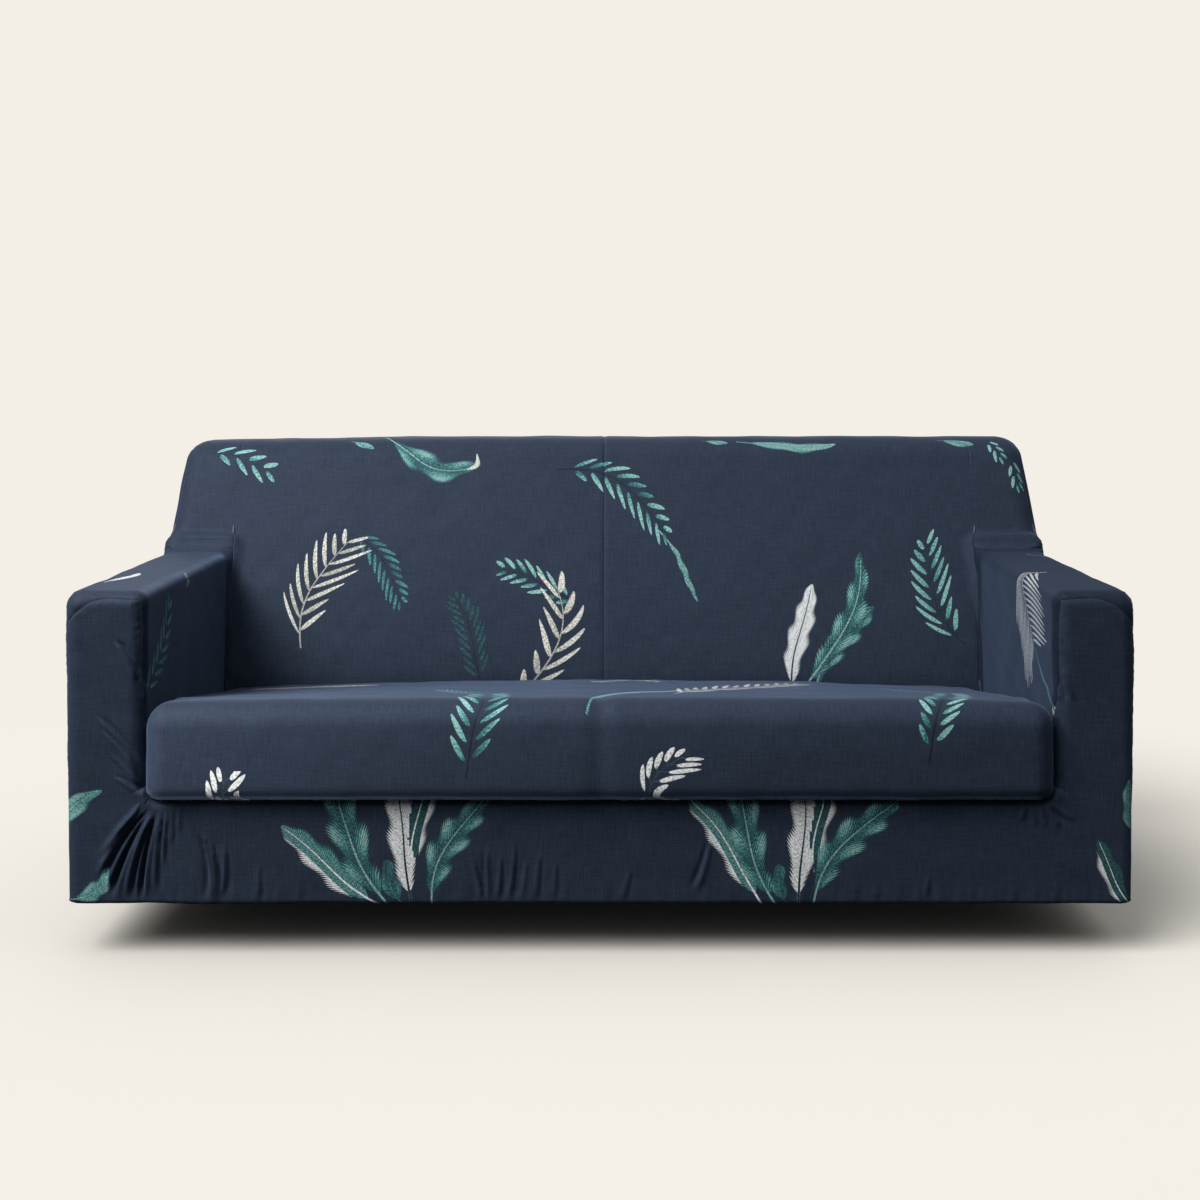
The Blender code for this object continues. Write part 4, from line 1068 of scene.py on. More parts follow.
# How a leaf is drawn, from s along its stem and t out to its left. Each row is one sum:
# its result, what is done, and the numbers or earlier results that it is done to. A
# spray's leaflets stand in cells along the stem, slant forward, and are fullest halfway.
SPRAY_STEPS = (
    # the half of the leaf, the share of its width, and the cell along its stem
    ("side", "ABSOLUTE", "t"),
    ("hand", "SIGN", "t"),
    ("outer", "DIVIDE", "side", "reach"),
    ("back1", "MULTIPLY_ADD", "outer", 0.40, 0.90),
    ("back", "MULTIPLY", "side", "back1"),
    ("root", "SUBTRACT", "s", "back"),
    ("cells", "MULTIPLY", "root", "pairs"),
    ("stagger", "MULTIPLY_ADD", "hand", 0.14, 40.0),
    ("cell", "ADD", "cells", "stagger"),
    ("whole", "FLOOR", "cell"),
    ("place", "FRACT", "cell"),
    ("off", "SUBTRACT", "place", 0.5),
    ("far", "ABSOLUTE", "off"),
    # the same few numbers for all of one leaflet
    ("seed1", "MULTIPLY", "whole", 12.99),
    ("seed2", "MULTIPLY_ADD", "hand", 4.1, "seed1"),
    ("seed3", "MULTIPLY_ADD", "leaf", 7.7, "seed2"),
    ("seed4", "SINE", "seed3"),
    ("seed5", "MULTIPLY", "seed4", 437.5),
    ("chance", "FRACT", "seed5"),
    # the sprays are widest below the middle
    ("middle", "SUBTRACT", "whole", 39.5),
    ("share", "DIVIDE", "middle", "pairs"),
    ("q", "MULTIPLY_ADD", "share", 0.82, 0.17),
    ("q1", "SUBTRACT", 1.0, "q"),
    ("qq", "MULTIPLY", "q", "q1"),
    ("arch", "MULTIPLY", "qq", 4.0),
    ("arch1", "MAXIMUM", "arch", 0.02),
    ("arch2", "POWER", "arch1", 0.55),
    ("uneven", "MULTIPLY_ADD", "chance", 0.28, 0.78),
    ("long1", "MULTIPLY", "arch2", "uneven"),
    ("long", "MULTIPLY", "long1", "reach"),
    ("r", "DIVIDE", "side", "long"),
    # on a dark stem the leaflets start a little way off it
    ("is_spray1", "LESS_THAN", "kind", 0.1),
    ("gap1", "MULTIPLY_ADD", "fullness", 1.2, -0.2),
    ("gap2", "MAXIMUM", "gap1", 0.0),
    ("gap", "MULTIPLY", "gap2", "is_spray1"),
    ("r_off", "SUBTRACT", "r", "gap"),
    ("r_left", "SUBTRACT", 1.0, "gap"),
    ("r_share", "DIVIDE", "r_off", "r_left"),
    ("r1", "SUBTRACT", 1.0, "r_share"),
    ("rr", "MULTIPLY", "r_share", "r1"),
    ("rr1", "MULTIPLY", "rr", 4.0),
    ("rr2", "MAXIMUM", "rr1", 0.0),
    ("oval", "POWER", "rr2", 0.62),
    ("wide", "MULTIPLY", "oval", "fullness"),
    # inside a leaflet, and between the first and the last of the spray
    ("within", "SUBTRACT", "wide", "far"),
    ("leaflet", "MULTIPLY_ADD", "within", 16.0, 0.3),
    ("leaflet1", "MINIMUM", "leaflet", 1.0),
    ("on1", "GREATER_THAN", "share", 0.0),
    ("on2", "LESS_THAN", "share", 1.0),
    ("on3", "LESS_THAN", "r", 0.97),
    ("on4", "MULTIPLY", "on1", "on2"),
    ("on5", "MULTIPLY", "on3", "on4"),
    ("leaflets1", "MULTIPLY", "leaflet1", "on5"),
    ("leaflets", "MAXIMUM", "leaflets1", 0.0),
    # the stem, which grows thinner towards its tip
    ("slim", "MULTIPLY_ADD", "s", -0.006, 0.0085),
    ("stem1", "SUBTRACT", "slim", "side"),
    ("stem2", "MULTIPLY_ADD", "stem1", 260.0, 0.5),
    ("below", "GREATER_THAN", "s", -0.06),
    ("above", "LESS_THAN", "s", 0.96),
    ("stem3", "MULTIPLY", "stem2", "below"),
    ("stem4", "MULTIPLY", "stem3", "above"),
    ("stem5", "MAXIMUM", "stem4", 0.0),
    ("stem", "MINIMUM", "stem5", 1.0),
    ("spray", "MAXIMUM", "leaflets", "stem"),
    # the tone of a leaflet goes from the first ink to the second towards its tip
    ("spray_mix1", "MULTIPLY_ADD", "r", 0.9, -0.25),
    ("spray_mix2", "MULTIPLY_ADD", "chance", 0.9, "spray_mix1"),
    ("spray_mix", "MULTIPLY", "spray_mix2", "leaflets"),
    ("dark_stem", "MULTIPLY", "is_spray1", "stem"),
)
# A blade's edge waves a few times, and is split into fine barbs that slant forward.
BLADE_STEPS = (
    # half its width along the stem: full in the middle, narrow at both ends
    ("b0", "MULTIPLY_ADD", "s", 1.12, -0.12),
    ("b1", "SUBTRACT", 1.0, "b0"),
    ("b2", "MULTIPLY", "b0", "b1"),
    ("b3", "MULTIPLY", "b2", 4.0),
    ("b4", "MAXIMUM", "b3", 0.0),
    ("b5", "POWER", "b4", 0.58),
    # the waves of its edge, and the barbs, of which some end early
    ("barb1", "MULTIPLY_ADD", "side", -1.6, "s"),
    ("turn0", "MULTIPLY_ADD", "side", -1.0, "s"),
    ("turn1", "MULTIPLY", "turn0", "pairs"),
    ("turn2", "MULTIPLY_ADD", "hand", 0.31, "turn1"),
    ("turn3", "MULTIPLY_ADD", "leaf", 0.37, "turn2"),
    ("turn4", "MULTIPLY", "turn3", 6.283),
    ("wave", "SINE", "turn4"),
    ("barb2", "MULTIPLY", "barb1", 44.0),
    ("barb3", "MULTIPLY_ADD", "wave", 0.55, "barb2"),
    ("barb", "FRACT", "barb3"),
    ("swell", "MULTIPLY_ADD", "wave", 0.14, 0.96),
    ("ragged", "MULTIPLY", "barb", "brush"),
    ("teeth", "MULTIPLY_ADD", "ragged", -0.62, "swell"),
    ("edge1", "MULTIPLY", "b5", "teeth"),
    ("edge", "MULTIPLY", "edge1", "reach"),
    # inside that edge, from just past the base to the tip
    ("in1", "SUBTRACT", "edge", "side"),
    ("in2", "MULTIPLY_ADD", "in1", 150.0, 0.5),
    ("in3", "MINIMUM", "in2", 1.0),
    ("s_on1", "GREATER_THAN", "s", 0.03),
    ("s_on2", "LESS_THAN", "s", 1.0),
    ("s_on", "MULTIPLY", "s_on1", "s_on2"),
    ("blade1", "MULTIPLY", "in3", "s_on"),
    ("blade", "MAXIMUM", "blade1", "stem"),
    # veins, darker towards the midrib
    ("vein1", "LESS_THAN", "barb", 0.22),
    ("near1", "DIVIDE", "side", "reach"),
    ("near", "SUBTRACT", 1.0, "near1"),
    ("vein", "MULTIPLY", "vein1", "near"),
    # the trim: from this share of one half's width outwards
    ("trim_hand", "SIGN", "fullness"),
    ("same", "MULTIPLY", "trim_hand", "hand"),
    ("trim_size", "ABSOLUTE", "fullness"),
    ("keep", "SUBTRACT", 1.0, "trim_size"),
    ("limit", "MULTIPLY", "keep", "reach"),
    ("over", "GREATER_THAN", "side", "limit"),
    ("same1", "GREATER_THAN", "same", 0.5),
    ("trim", "MULTIPLY", "over", "same1"),
    # without a trim, the second ink lies where the edge swells out
    ("lobes1", "MULTIPLY_ADD", "wave", 0.62, 0.86),
    ("lobes2", "MULTIPLY", "lobes1", "near1"),
    ("two_inks1", "GREATER_THAN", "second", 0.08),
    ("untrimmed", "LESS_THAN", "trim_size", 0.01),
    ("two_inks", "MULTIPLY", "two_inks1", "untrimmed"),
    ("lobes", "MULTIPLY", "lobes2", "two_inks"),
    ("blade_mix1", "MAXIMUM", "lobes", "trim"),
    ("blade_mix", "MAXIMUM", "blade_mix1", "stem"),
)
# Then the result is taken for the leaf's own kind.
CHOICE_STEPS = (
    # where there is ink, as this kind of leaf has it
    ("is_blade", "GREATER_THAN", "kind", 0.5),
    ("is_spray", "SUBTRACT", 1.0, "is_blade"),
    ("mask1", "MULTIPLY", "blade", "is_blade"),
    ("mask2", "MULTIPLY_ADD", "spray", "is_spray", "mask1"),
    ("mask", "MAXIMUM", "mask2", 0.0),
    # its place on the ramp of inks, with brush strokes
    ("mix1", "MULTIPLY", "blade_mix", "is_blade"),
    ("mix2", "MULTIPLY_ADD", "spray_mix", "is_spray", "mix1"),
    ("mix3", "MAXIMUM", "mix2", 0.0),
    ("mix", "MINIMUM", "mix3", 1.0),
    ("step", "SUBTRACT", "second", "ink"),
    ("tone1", "MULTIPLY_ADD", "step", "mix", "ink"),
    ("bare", "SUBTRACT", 1.0, "dark_stem"),
    ("tone2", "MULTIPLY", "tone1", "bare"),
    ("brushed", "MULTIPLY_ADD", "brush", 0.50, -0.25),
    ("stroke1", "SUBTRACT", "barb", 0.5),
    ("stroke2", "MULTIPLY", "stroke1", "is_blade"),
    ("stroked", "MULTIPLY_ADD", "stroke2", 0.32, "brushed"),
    ("tone", "ADD", "tone2", "stroked"),
    # how much of the ground shows along the veins, and
    ("veins", "MULTIPLY", "vein", "is_blade"),
    ("no_stem", "SUBTRACT", 1.0, "stem"),
    ("dark1", "MULTIPLY", "veins", "no_stem"),
    ("dark2", "MULTIPLY", "dark1", 0.70),
    # where the ink lies thinly
    ("bare1", "SUBTRACT", 0.57, "brush"),
    ("bare2", "MULTIPLY", "bare1", 2.8),
    ("bare3", "MINIMUM", "bare2", 0.65),
    ("dark", "MAXIMUM", "dark2", "bare3"),
)


def printed_leaf(tree, word, brush):
    """The leaves of one layer of the print: where there is ink, its tone, and its veins."""
    values = {"brush": brush}
    for part, names in (
        ("place", ("s", "t", "leaf")),
        ("shape", ("pairs", "reach", "fullness")),
        ("inks", ("kind", "ink", "second")),
    ):
        stored = add(tree, "ShaderNodeAttribute", attribute_name=f"leaf_{part}_{word}")
        split = add(tree, "ShaderNodeSeparateXYZ", {0: stored.outputs["Vector"]})
        values.update(zip(names, split.outputs))
    for result, operation, *terms in SPRAY_STEPS + BLADE_STEPS + CHOICE_STEPS:
        sockets = {number: values.get(term, term) for number, term in enumerate(terms)}
        values[result] = add(tree, "ShaderNodeMath", sockets, operation=operation).outputs[0]
    return values["mask"], values["tone"], values["dark"]


def new_material(name):
    material = bpy.data.materials.new(name)
    material.use_nodes = True
    material.node_tree.nodes.clear()
    return material


INKS = {
    "line": LINE + 0.05,
    "deep_teal": DEEP_TEAL,
    "teal": TEAL,
    "mint": MINT,
    "taupe": TAUPE,
    "cream": CREAM,
    "white": 0.91,
}


@lru_cache
def printed_jersey():
    """Polyester and elastane jersey, knitted and then heat-printed.

    The eye sees matt navy with a fine grain up and across it, a soft bluish sheen where
    it turns away, and leaves whose ink lies unevenly, so that the ground shows through.
    """
    look = bpy.context.scene.slipcover_print
    material = new_material("printed_stretch_jersey")
    tree = material.node_tree
    flat = add(tree, "ShaderNodeUVMap", uv_map="flat_cloth").outputs[0]
    flecks = {"Vector": flat, "Scale": 1 / look.heather_size, "Detail": 5.0, "Roughness": 0.62}
    heather = add(tree, "ShaderNodeTexNoise", flecks).outputs[0]
    strokes = {"Vector": flat, "Scale": 1 / look.brush_size, "Detail": 3.0, "Roughness": 0.7}
    brush = add(tree, "ShaderNodeTexNoise", strokes).outputs[0]

    # Stitches of under 1 mm are too fine to show. The grain of uneven yarn is drawn 3 mm
    # by 33 mm up the cloth and 38 mm by 3 mm across it, as so many to the metre.
    grain = 0.0
    for stretch, share in (((330.0, 30.0, 1.0), 0.45), ((26.0, 310.0, 1.0), 0.35)):
        way = add(tree, "ShaderNodeMapping", {"Vector": flat, "Scale": stretch}).outputs[0]
        yarn = {"Vector": way, "Scale": 1.0, "Detail": 2.0}
        yarn = add(tree, "ShaderNodeTexNoise", yarn).outputs[0]
        sums = {0: yarn, 1: share, 2: grain}
        grain = add(tree, "ShaderNodeMath", sums, operation="MULTIPLY_ADD").outputs[0]
    sums = {0: heather, 1: 0.20, 2: grain}
    grain = add(tree, "ShaderNodeMath", sums, operation="MULTIPLY_ADD").outputs[0]

    navies = ((0.36, look.ground_dark), (0.50, look.ground), (0.64, look.ground_light))
    ground = add(tree, "ShaderNodeValToRGB", {0: grain}, navies).outputs[0]
    inks = [(place, getattr(look, name)) for name, place in INKS.items()]
    colour = ground
    for word in ("under", "over"):
        mask, tone, dark = printed_leaf(tree, word, brush)
        ink = add(tree, "ShaderNodeValToRGB", {0: tone}, inks).outputs[0]
        sockets = {0: dark, 6: ink, 7: ground}
        veined = add(tree, "ShaderNodeMix", sockets, data_type="RGBA").outputs[2]
        sockets = {0: mask, 6: colour, 7: veined}
        colour = add(tree, "ShaderNodeMix", sockets, data_type="RGBA").outputs[2]
    bump = {"Strength": 0.30, "Distance": 0.0008, "Height": grain}
    finish = {
        "Base Color": colour,
        "Roughness": look.roughness,
        "Specular IOR Level": look.gloss,
        "Specular Tint": linear("#C2D4FF"),
        "Sheen Weight": look.sheen,
        "Sheen Roughness": 0.4,
        "Sheen Tint": linear("#9DB8E6"),
        "Normal": add(tree, "ShaderNodeBump", bump).outputs[0],
    }
    shader = add(tree, "ShaderNodeBsdfPrincipled", finish)
    add(tree, "ShaderNodeOutputMaterial", {0: shader.outputs[0]})
    return material


@lru_cache
def jersey_reverse():
    """The unprinted reverse of the same jersey: paler, flat and matt, seen from below."""
    material = new_material("jersey_reverse_side")
    tree = material.node_tree
    flat = add(tree, "ShaderNodeUVMap", uv_map="flat_cloth").outputs[0]
    # flecks of about 4 mm: the knit itself is too fine to show
    flecks = {"Vector": flat, "Scale": 260.0, "Detail": 3.0, "Roughness": 0.6}
    speck = add(tree, "ShaderNodeTexNoise", flecks).outputs[0]
    reverse = bpy.context.scene.slipcover_print.reverse
    greys = ((0.35, [0.82 * part for part in reverse]), (0.65, reverse))
    colour = add(tree, "ShaderNodeValToRGB", {0: speck}, greys).outputs[0]
    finish = {"Base Color": colour, "Roughness": 0.9, "Specular IOR Level": 0.2}
    shader = add(tree, "ShaderNodeBsdfPrincipled", finish)
    add(tree, "ShaderNodeOutputMaterial", {0: shader.outputs[0]})
    return material


# --- Fine panels -------------------------------------------------------------------------

SEAM_ROWS = (0.0016, 0.0042)  # extra rows beside a seam, this far from it
SEAM_WIDTH = 0.0035
EDGE_SPACING = 0.0015  # of the points along the sewn edges
PUCKERS_OFF = 0.006  # the puckers stand this far from their seam, and are as wide
PUCKER_LENGTH = 0.014
HIDDEN_SEAM = 0.85  # how much flatter the seam down the inside of each arm front is
SEAT_CELLS, BACK_CELLS, ARM_CELLS, REAR_CELLS = 1.9, 1.7, 1.8, 2.8  # next to the front's


def fine(grid, step):
    """A grid with cells of about the step between the points of the given one."""
    for _ in range(2):
        lengths = np.linalg.norm(np.diff(grid, axis=0), axis=-1).max(axis=1)
        rows = []
        for number, length in enumerate(lengths):
            cuts = max(1, round(length / step))
            shares = {k / cuts for k in range(cuts)}
            near = [width / max(length, 1e-6) for width in SEAM_ROWS]
            if number == 0:
                shares |= {share for share in near if share < 0.6 / cuts}
            if number == len(lengths) - 1:
                shares |= {1 - share for share in near if share < 0.6 / cuts}
            rows += [grid[number] * (1 - s) + grid[number + 1] * s for s in sorted(shares)]
        grid = np.array(rows + [grid[-1]]).transpose(1, 0, 2)
    return grid


def joined(grids):
    """One set of points and quads from grids that share borders, facing outwards."""
    points = np.concatenate([grid.reshape(-1, 3) for grid in grids])
    quads, first = [], 0
    for grid in grids:
        numbers = first + np.arange(grid[..., 0].size).reshape(grid.shape[:2])
        first += numbers.size
        corners = (numbers[:-1, :-1], numbers[:-1, 1:], numbers[1:, 1:], numbers[1:, :-1])
        faces = np.stack(corners, axis=-1).reshape(-1, 4)
        across = grid[:-1, 1:] - grid[:-1, :-1]
        facing = np.cross(across, grid[1:, :-1] - grid[:-1, :-1]) * outward(grid[:-1, :-1])
        quads.append(faces if facing.sum() > 0 else faces[:, ::-1])
    keys = np.round(points / WELD).astype(int)
    _, kept, number = np.unique(keys, axis=0, return_index=True, return_inverse=True)
    return points[kept], number.reshape(-1)[np.concatenate(quads)]


def sewn_edges(grids):
    """Points close together along a panel's sewn edges, but not where its grids meet."""
    outlines = []
    for grid in grids:
        ring = np.vstack([grid[0], grid[1:, -1], grid[-1, -2::-1], grid[-2::-1, 0]])
        start, way = ring[:-1], np.diff(ring, axis=0)
        cuts = np.ceil(np.linalg.norm(way, axis=1) / EDGE_SPACING).astype(int)
        pieces = zip(start, way, cuts)
        dense = [a + np.arange(n)[:, None] / n * b for a, b, n in pieces if n]
        outlines.append(np.vstack(dense))
    sewn = []
    for number, outline in enumerate(outlines):
        others = outlines[:number] + outlines[number + 1 :]
        if others:
            outline = outline[distances(outline, np.vstack(others)) > EDGE_SPACING]
        sewn.append(outline)
    sewn = np.vstack(sewn)
    return sewn[sewn[:, 2] > HEM_HEIGHT + 0.002]


def distances(points, others):
    """How far each point is from the nearest of the others."""
    tree = kdtree.KDTree(len(others))
    for number, other in enumerate(others):
        tree.insert(other, number)
    tree.balance()
    return np.array([tree.find(point)[2] for point in points])


def cloth_panel(name, grids, step):
    """Makes one panel of the cover from coarse grids of points, as a closed thin sheet."""
    made = []
    for grid in grids:
        dense = fine(grid, step)
        dense[1:-1, 1:-1] = settle(dense[1:-1, 1:-1])
        made.append(dense)
    points, quads = joined(made)
    normals = outward(points)
    seam = distances(points, sewn_edges(grids))
    near_seam = np.exp(-((seam / SEAM_WIDTH) ** 2))
    inside_arm = ease((ARM_INNER + 0.03 - np.abs(points[:, 0])) / 0.02)
    near_seam *= 1 - HIDDEN_SEAM * inside_arm * (points[:, 1] < 0.1)
    puckers = np.exp(-(((seam - PUCKERS_OFF) / PUCKERS_OFF) ** 2))
    puckers *= waviness(points, PUCKER_LENGTH, 21)
    cloth = bpy.context.scene.slipcover_cloth
    height = cloth.folds * relief(points, normals) * (1 - 0.5 * near_seam)
    height += cloth.pucker * puckers - cloth.seam_dip * near_seam
    shaped = points + normals * height[:, None] - MOUNT

    mesh = bpy.data.meshes.new(name)
    corners = [list(dict.fromkeys(quad)) for quad in quads.tolist()]
    mesh.from_pydata(shaped.tolist(), [], [face for face in corners if len(face) > 2])
    mesh.validate()
    panel = bpy.data.objects.new(name, mesh)
    bpy.context.scene.collection.objects.link(panel)
    lay_print(mesh, name)
    mesh.materials.append(printed_jersey())
    mesh.materials.append(jersey_reverse())
    give_thickness(panel)
    mesh.shade_smooth()
    node = name.removesuffix("_cloth")
    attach(panel, "root")
    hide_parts(node)
    return panel


def give_thickness(panel):
    """Turns the outer face into a closed sheet, with the reverse of the cloth inside."""
    solidify = panel.modifiers.new("cloth", "SOLIDIFY")
    solidify.thickness = bpy.context.scene.slipcover_cloth.thickness
    solidify.offset = -1
    solidify.use_even_offset = False
    solidify.material_offset = 1
    solidify.material_offset_rim = 1
    bpy.ops.object.select_all(action="DESELECT")
    panel.select_set(True)
    bpy.context.view_layer.objects.active = panel
    bpy.ops.object.modifier_apply(modifier=solidify.name)


# --- Stage -------------------------------------------------------------------------------


PAINT_TO, PLAIN_FROM = 1.55, 2.6  # metres from the cover's mount
FLOOR_HALF = 45.0
SUN_ANGLE = np.radians(40)  # as wide as a large window, for soft shadows
SUN_WAY = (0.50, 0.46, -0.74)


def painted_floor(look):
    """Matt floor paint, which away from the cover goes over into the plain background."""
    material = new_material("matt_painted_floor")
    tree = material.node_tree
    place = add(tree, "ShaderNodeTexCoord").outputs["Object"]
    far = add(tree, "ShaderNodeVectorMath", {0: place}, operation="LENGTH").outputs["Value"]
    reach = {"Value": far, "From Min": PAINT_TO, "From Max": PLAIN_FROM}
    share = add(tree, "ShaderNodeMapRange", reach, interpolation_type="SMOOTHSTEP").outputs[0]
    colour = [part * look.floor for part in look.backdrop]
    paint = add(tree, "ShaderNodeBsdfDiffuse", {"Color": (*colour, 1.0)}).outputs[0]
    plain = add(tree, "ShaderNodeEmission", {"Color": (*look.backdrop, 1.0)}).outputs[0]
    either = add(tree, "ShaderNodeMixShader", {0: share, 1: paint, 2: plain})
    add(tree, "ShaderNodeOutputMaterial", {0: either.outputs[0]})
    return material


def cloth_lamp(name, place, target, size, watts, words):
    """A soft lamp that lights only the panels with one of these words in their names."""
    light = bpy.data.lights.new(name, "AREA")
    light.shape = "RECTANGLE"
    light.size, light.size_y = size
    light.energy = watts
    light.color = linear("#FFFBF5")[:3]
    lamp = bpy.data.objects.new(name, light)
    bpy.context.scene.collection.objects.link(lamp)
    lamp.location = place
    way = Vector(target) - Vector(place)
    lamp.rotation_euler = way.to_track_quat("-Z", "Y").to_euler()
    lit = bpy.data.collections.new(name)
    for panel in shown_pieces():
        if any(word in panel.name for word in words):
            lit.objects.link(panel)
    lamp.light_linking.receiver_collection = lit


def soft_room(look):
    """Light that is strongest overhead, behind a plain background of the floor's colour."""
    world = bpy.data.worlds.new("soft_room")
    world.use_nodes = True
    tree = world.node_tree
    tree.nodes.clear()
    way = add(tree, "ShaderNodeTexCoord").outputs["Generated"]
    split = add(tree, "ShaderNodeSeparateXYZ", {0: way})
    values = dict(zip("xyz", split.outputs))
    for result, operation, *terms in (
        ("up", "MAXIMUM", "z", 0.0),
        ("high", "POWER", "up", 1.5),
        ("front", "MULTIPLY_ADD", "y", -0.20, 1.0),
        ("left", "MULTIPLY_ADD", "x", -0.40, "front"),
        ("light", "MULTIPLY", "high", "left"),
        ("power", "MULTIPLY_ADD", "light", look.room, 0.03),
    ):
        sockets = {number: values.get(term, term) for number, term in enumerate(terms)}
        values[result] = add(tree, "ShaderNodeMath", sockets, operation=operation).outputs[0]
    shine = {"Color": linear("#FFFFFF"), "Strength": values["power"]}
    light = add(tree, "ShaderNodeBackground", shine)
    plain = add(tree, "ShaderNodeBackground", {"Color": (*look.backdrop, 1.0), "Strength": 1.0})
    seen = add(tree, "ShaderNodeLightPath").outputs["Is Camera Ray"]
    either = add(tree, "ShaderNodeMixShader", {0: seen, 1: light.outputs[0], 2: plain.outputs[0]})
    add(tree, "ShaderNodeOutputWorld", {0: either.outputs[0]})
    return world


def build_stage():
    """The floor, the lights and the camera."""
    look = bpy.context.scene.slipcover_stage
    half, level = FLOOR_HALF, -MOUNT[2]
    mesh = bpy.data.meshes.new("floor")
    corners = [(-half, -half), (half, -half), (half, half), (-half, half)]
    mesh.from_pydata([(x, y, level) for x, y in corners], [], [(0, 1, 2, 3)])
    mesh.materials.append(painted_floor(look))
    floor = bpy.data.objects.new("floor", mesh)
    bpy.context.scene.collection.objects.link(floor)
    floor.visible_diffuse = False
    floor.visible_glossy = False
    floor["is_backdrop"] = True
    bpy.context.scene.world = soft_room(look)

    sun = bpy.data.lights.new("window_light", "SUN")
    sun.energy = look.sun
    sun.angle = SUN_ANGLE
    sun.color = linear("#FFFEFD")[:3]
    lamp = bpy.data.objects.new("window_light", sun)
    bpy.context.scene.collection.objects.link(lamp)
    lamp.rotation_euler = Vector(SUN_WAY).to_track_quat("-Z", "Y").to_euler()
    # the right arm's inside stays in the shade of the key light
    lit = ("front", "seat", "back", "rear", "panel_left")
    for name, place, target, size, watts, *words in (
        ("key_light", (-2.0, -2.0, 1.7), (-0.4, -0.4, -0.3), (1.2, 1.2), look.key, *lit),
        ("rim_light", (-1.0, 3.0, 1.9), (0.0, 0.2, -0.4), (2.0, 2.0), look.rim, ""),
        ("rear_light", (1.6, 3.4, 1.1), (0.0, 0.0, -0.4), (2.0, 1.5), look.rear, "rear"),
        ("back_light", (0.3, -3.0, 0.2), (0.1, 0.6, -0.6), (2.0, 1.0), look.back, "back"),
        ("seat_light", (-1.7, -1.9, -0.2), (-0.4, 0.0, -0.4), (0.8, 0.8), look.seat, "seat"),
    ):
        cloth_lamp(name, place, target, size, watts, words)

    lens = bpy.data.cameras.new("camera")
    lens.lens = LENS
    lens.sensor_width = 36
    lens.shift_x = SHIFT_RIGHT
    lens.shift_y = SHIFT_UP
    camera = bpy.data.objects.new("camera", lens)
    bpy.context.scene.collection.objects.link(camera)
    camera.location = EYE - MOUNT
    camera.rotation_euler = (np.pi / 2, 0, 0)
    bpy.context.scene.camera = camera
    bpy.context.scene.view_settings.view_transform = "Standard"


# --- Add-on ------------------------------------------------------------------------------


def colour_property(name, code, description):
    """A colour that a user can change, with its default as a hex code."""
    return bpy.props.FloatVectorProperty(
        name=name,
        description=description,
        subtype="COLOR",
        size=3,
        min=0,
        max=1,
        default=linear(code)[:3],
    )


def number_property(name, default, description, **kind):
    """A size or strength that a user can change."""
    return bpy.props.FloatProperty(name=name, description=description, default=default, **kind)


LENGTH, FACTOR, POWER = {"unit": "LENGTH"}, {"subtype": "FACTOR"}, {"unit": "POWER"}


class SLIPCOVER_PG_cloth(bpy.types.PropertyGroup):
    """Sizes of the cloth."""

    thickness: number_property("Thickness", CLOTH, "Thickness of the cloth", **LENGTH)
    seam_dip: number_property(
        "Seam depth", 0.0011, "How far the stitches draw the cloth in at a seam", **LENGTH
    )
    pucker: number_property(
        "Seam pucker", 0.0004, "Height of the small puckers beside a seam", **LENGTH
    )
    folds: number_property(
        "Folds", 1.0, "Height of the pulled folds, as a share of that in the picture", **FACTOR
    )
    cell: number_property(
        "Cell", 0.0036, "Size of the smallest cells of the mesh, on the front panel", **LENGTH
    )


class SLIPCOVER_PG_print(bpy.types.PropertyGroup):
    """Colours and scale of the printed jersey."""

    ground: colour_property("Ground", "#262F3D", "Navy between the leaves")
    ground_dark: colour_property("Ground, dark", "#212935", "Darkest flecks of the navy")
    ground_light: colour_property("Ground, light", "#2C3547", "Lightest flecks of the navy")
    line: colour_property("Line", "#161C26", "Dark stems and lines")
    deep_teal: colour_property("Deep teal", "#234648", "Darkest leaves")
    teal: colour_property("Teal", "#418080", "Shaded part of the teal leaves")
    mint: colour_property("Mint", "#86BDB8", "Light part of the teal leaves")
    taupe: colour_property("Taupe", "#A2A39A", "Shaded part of the cream leaves")
    cream: colour_property("Cream", "#D2D3CA", "Light part of the cream leaves")
    white: colour_property("White", "#E8ECEF", "White leaves")
    reverse: colour_property("Reverse", "#59606C", "Unprinted inside of the cloth")
    heather_size: number_property(
        "Heather size", 0.005, "Size of the light and dark flecks", **LENGTH
    )
    brush_size: number_property(
        "Brush size", 0.004, "Size of the light and dark strokes inside a leaf", **LENGTH
    )
    roughness: number_property("Roughness", 0.62, "Roughness of the cloth", **FACTOR)
    gloss: number_property("Gloss", 0.18, "Strength of the smooth yarn's reflection", **FACTOR)
    sheen: number_property("Sheen", 0.36, "Soft sheen of the fibres at grazing angles", **FACTOR)


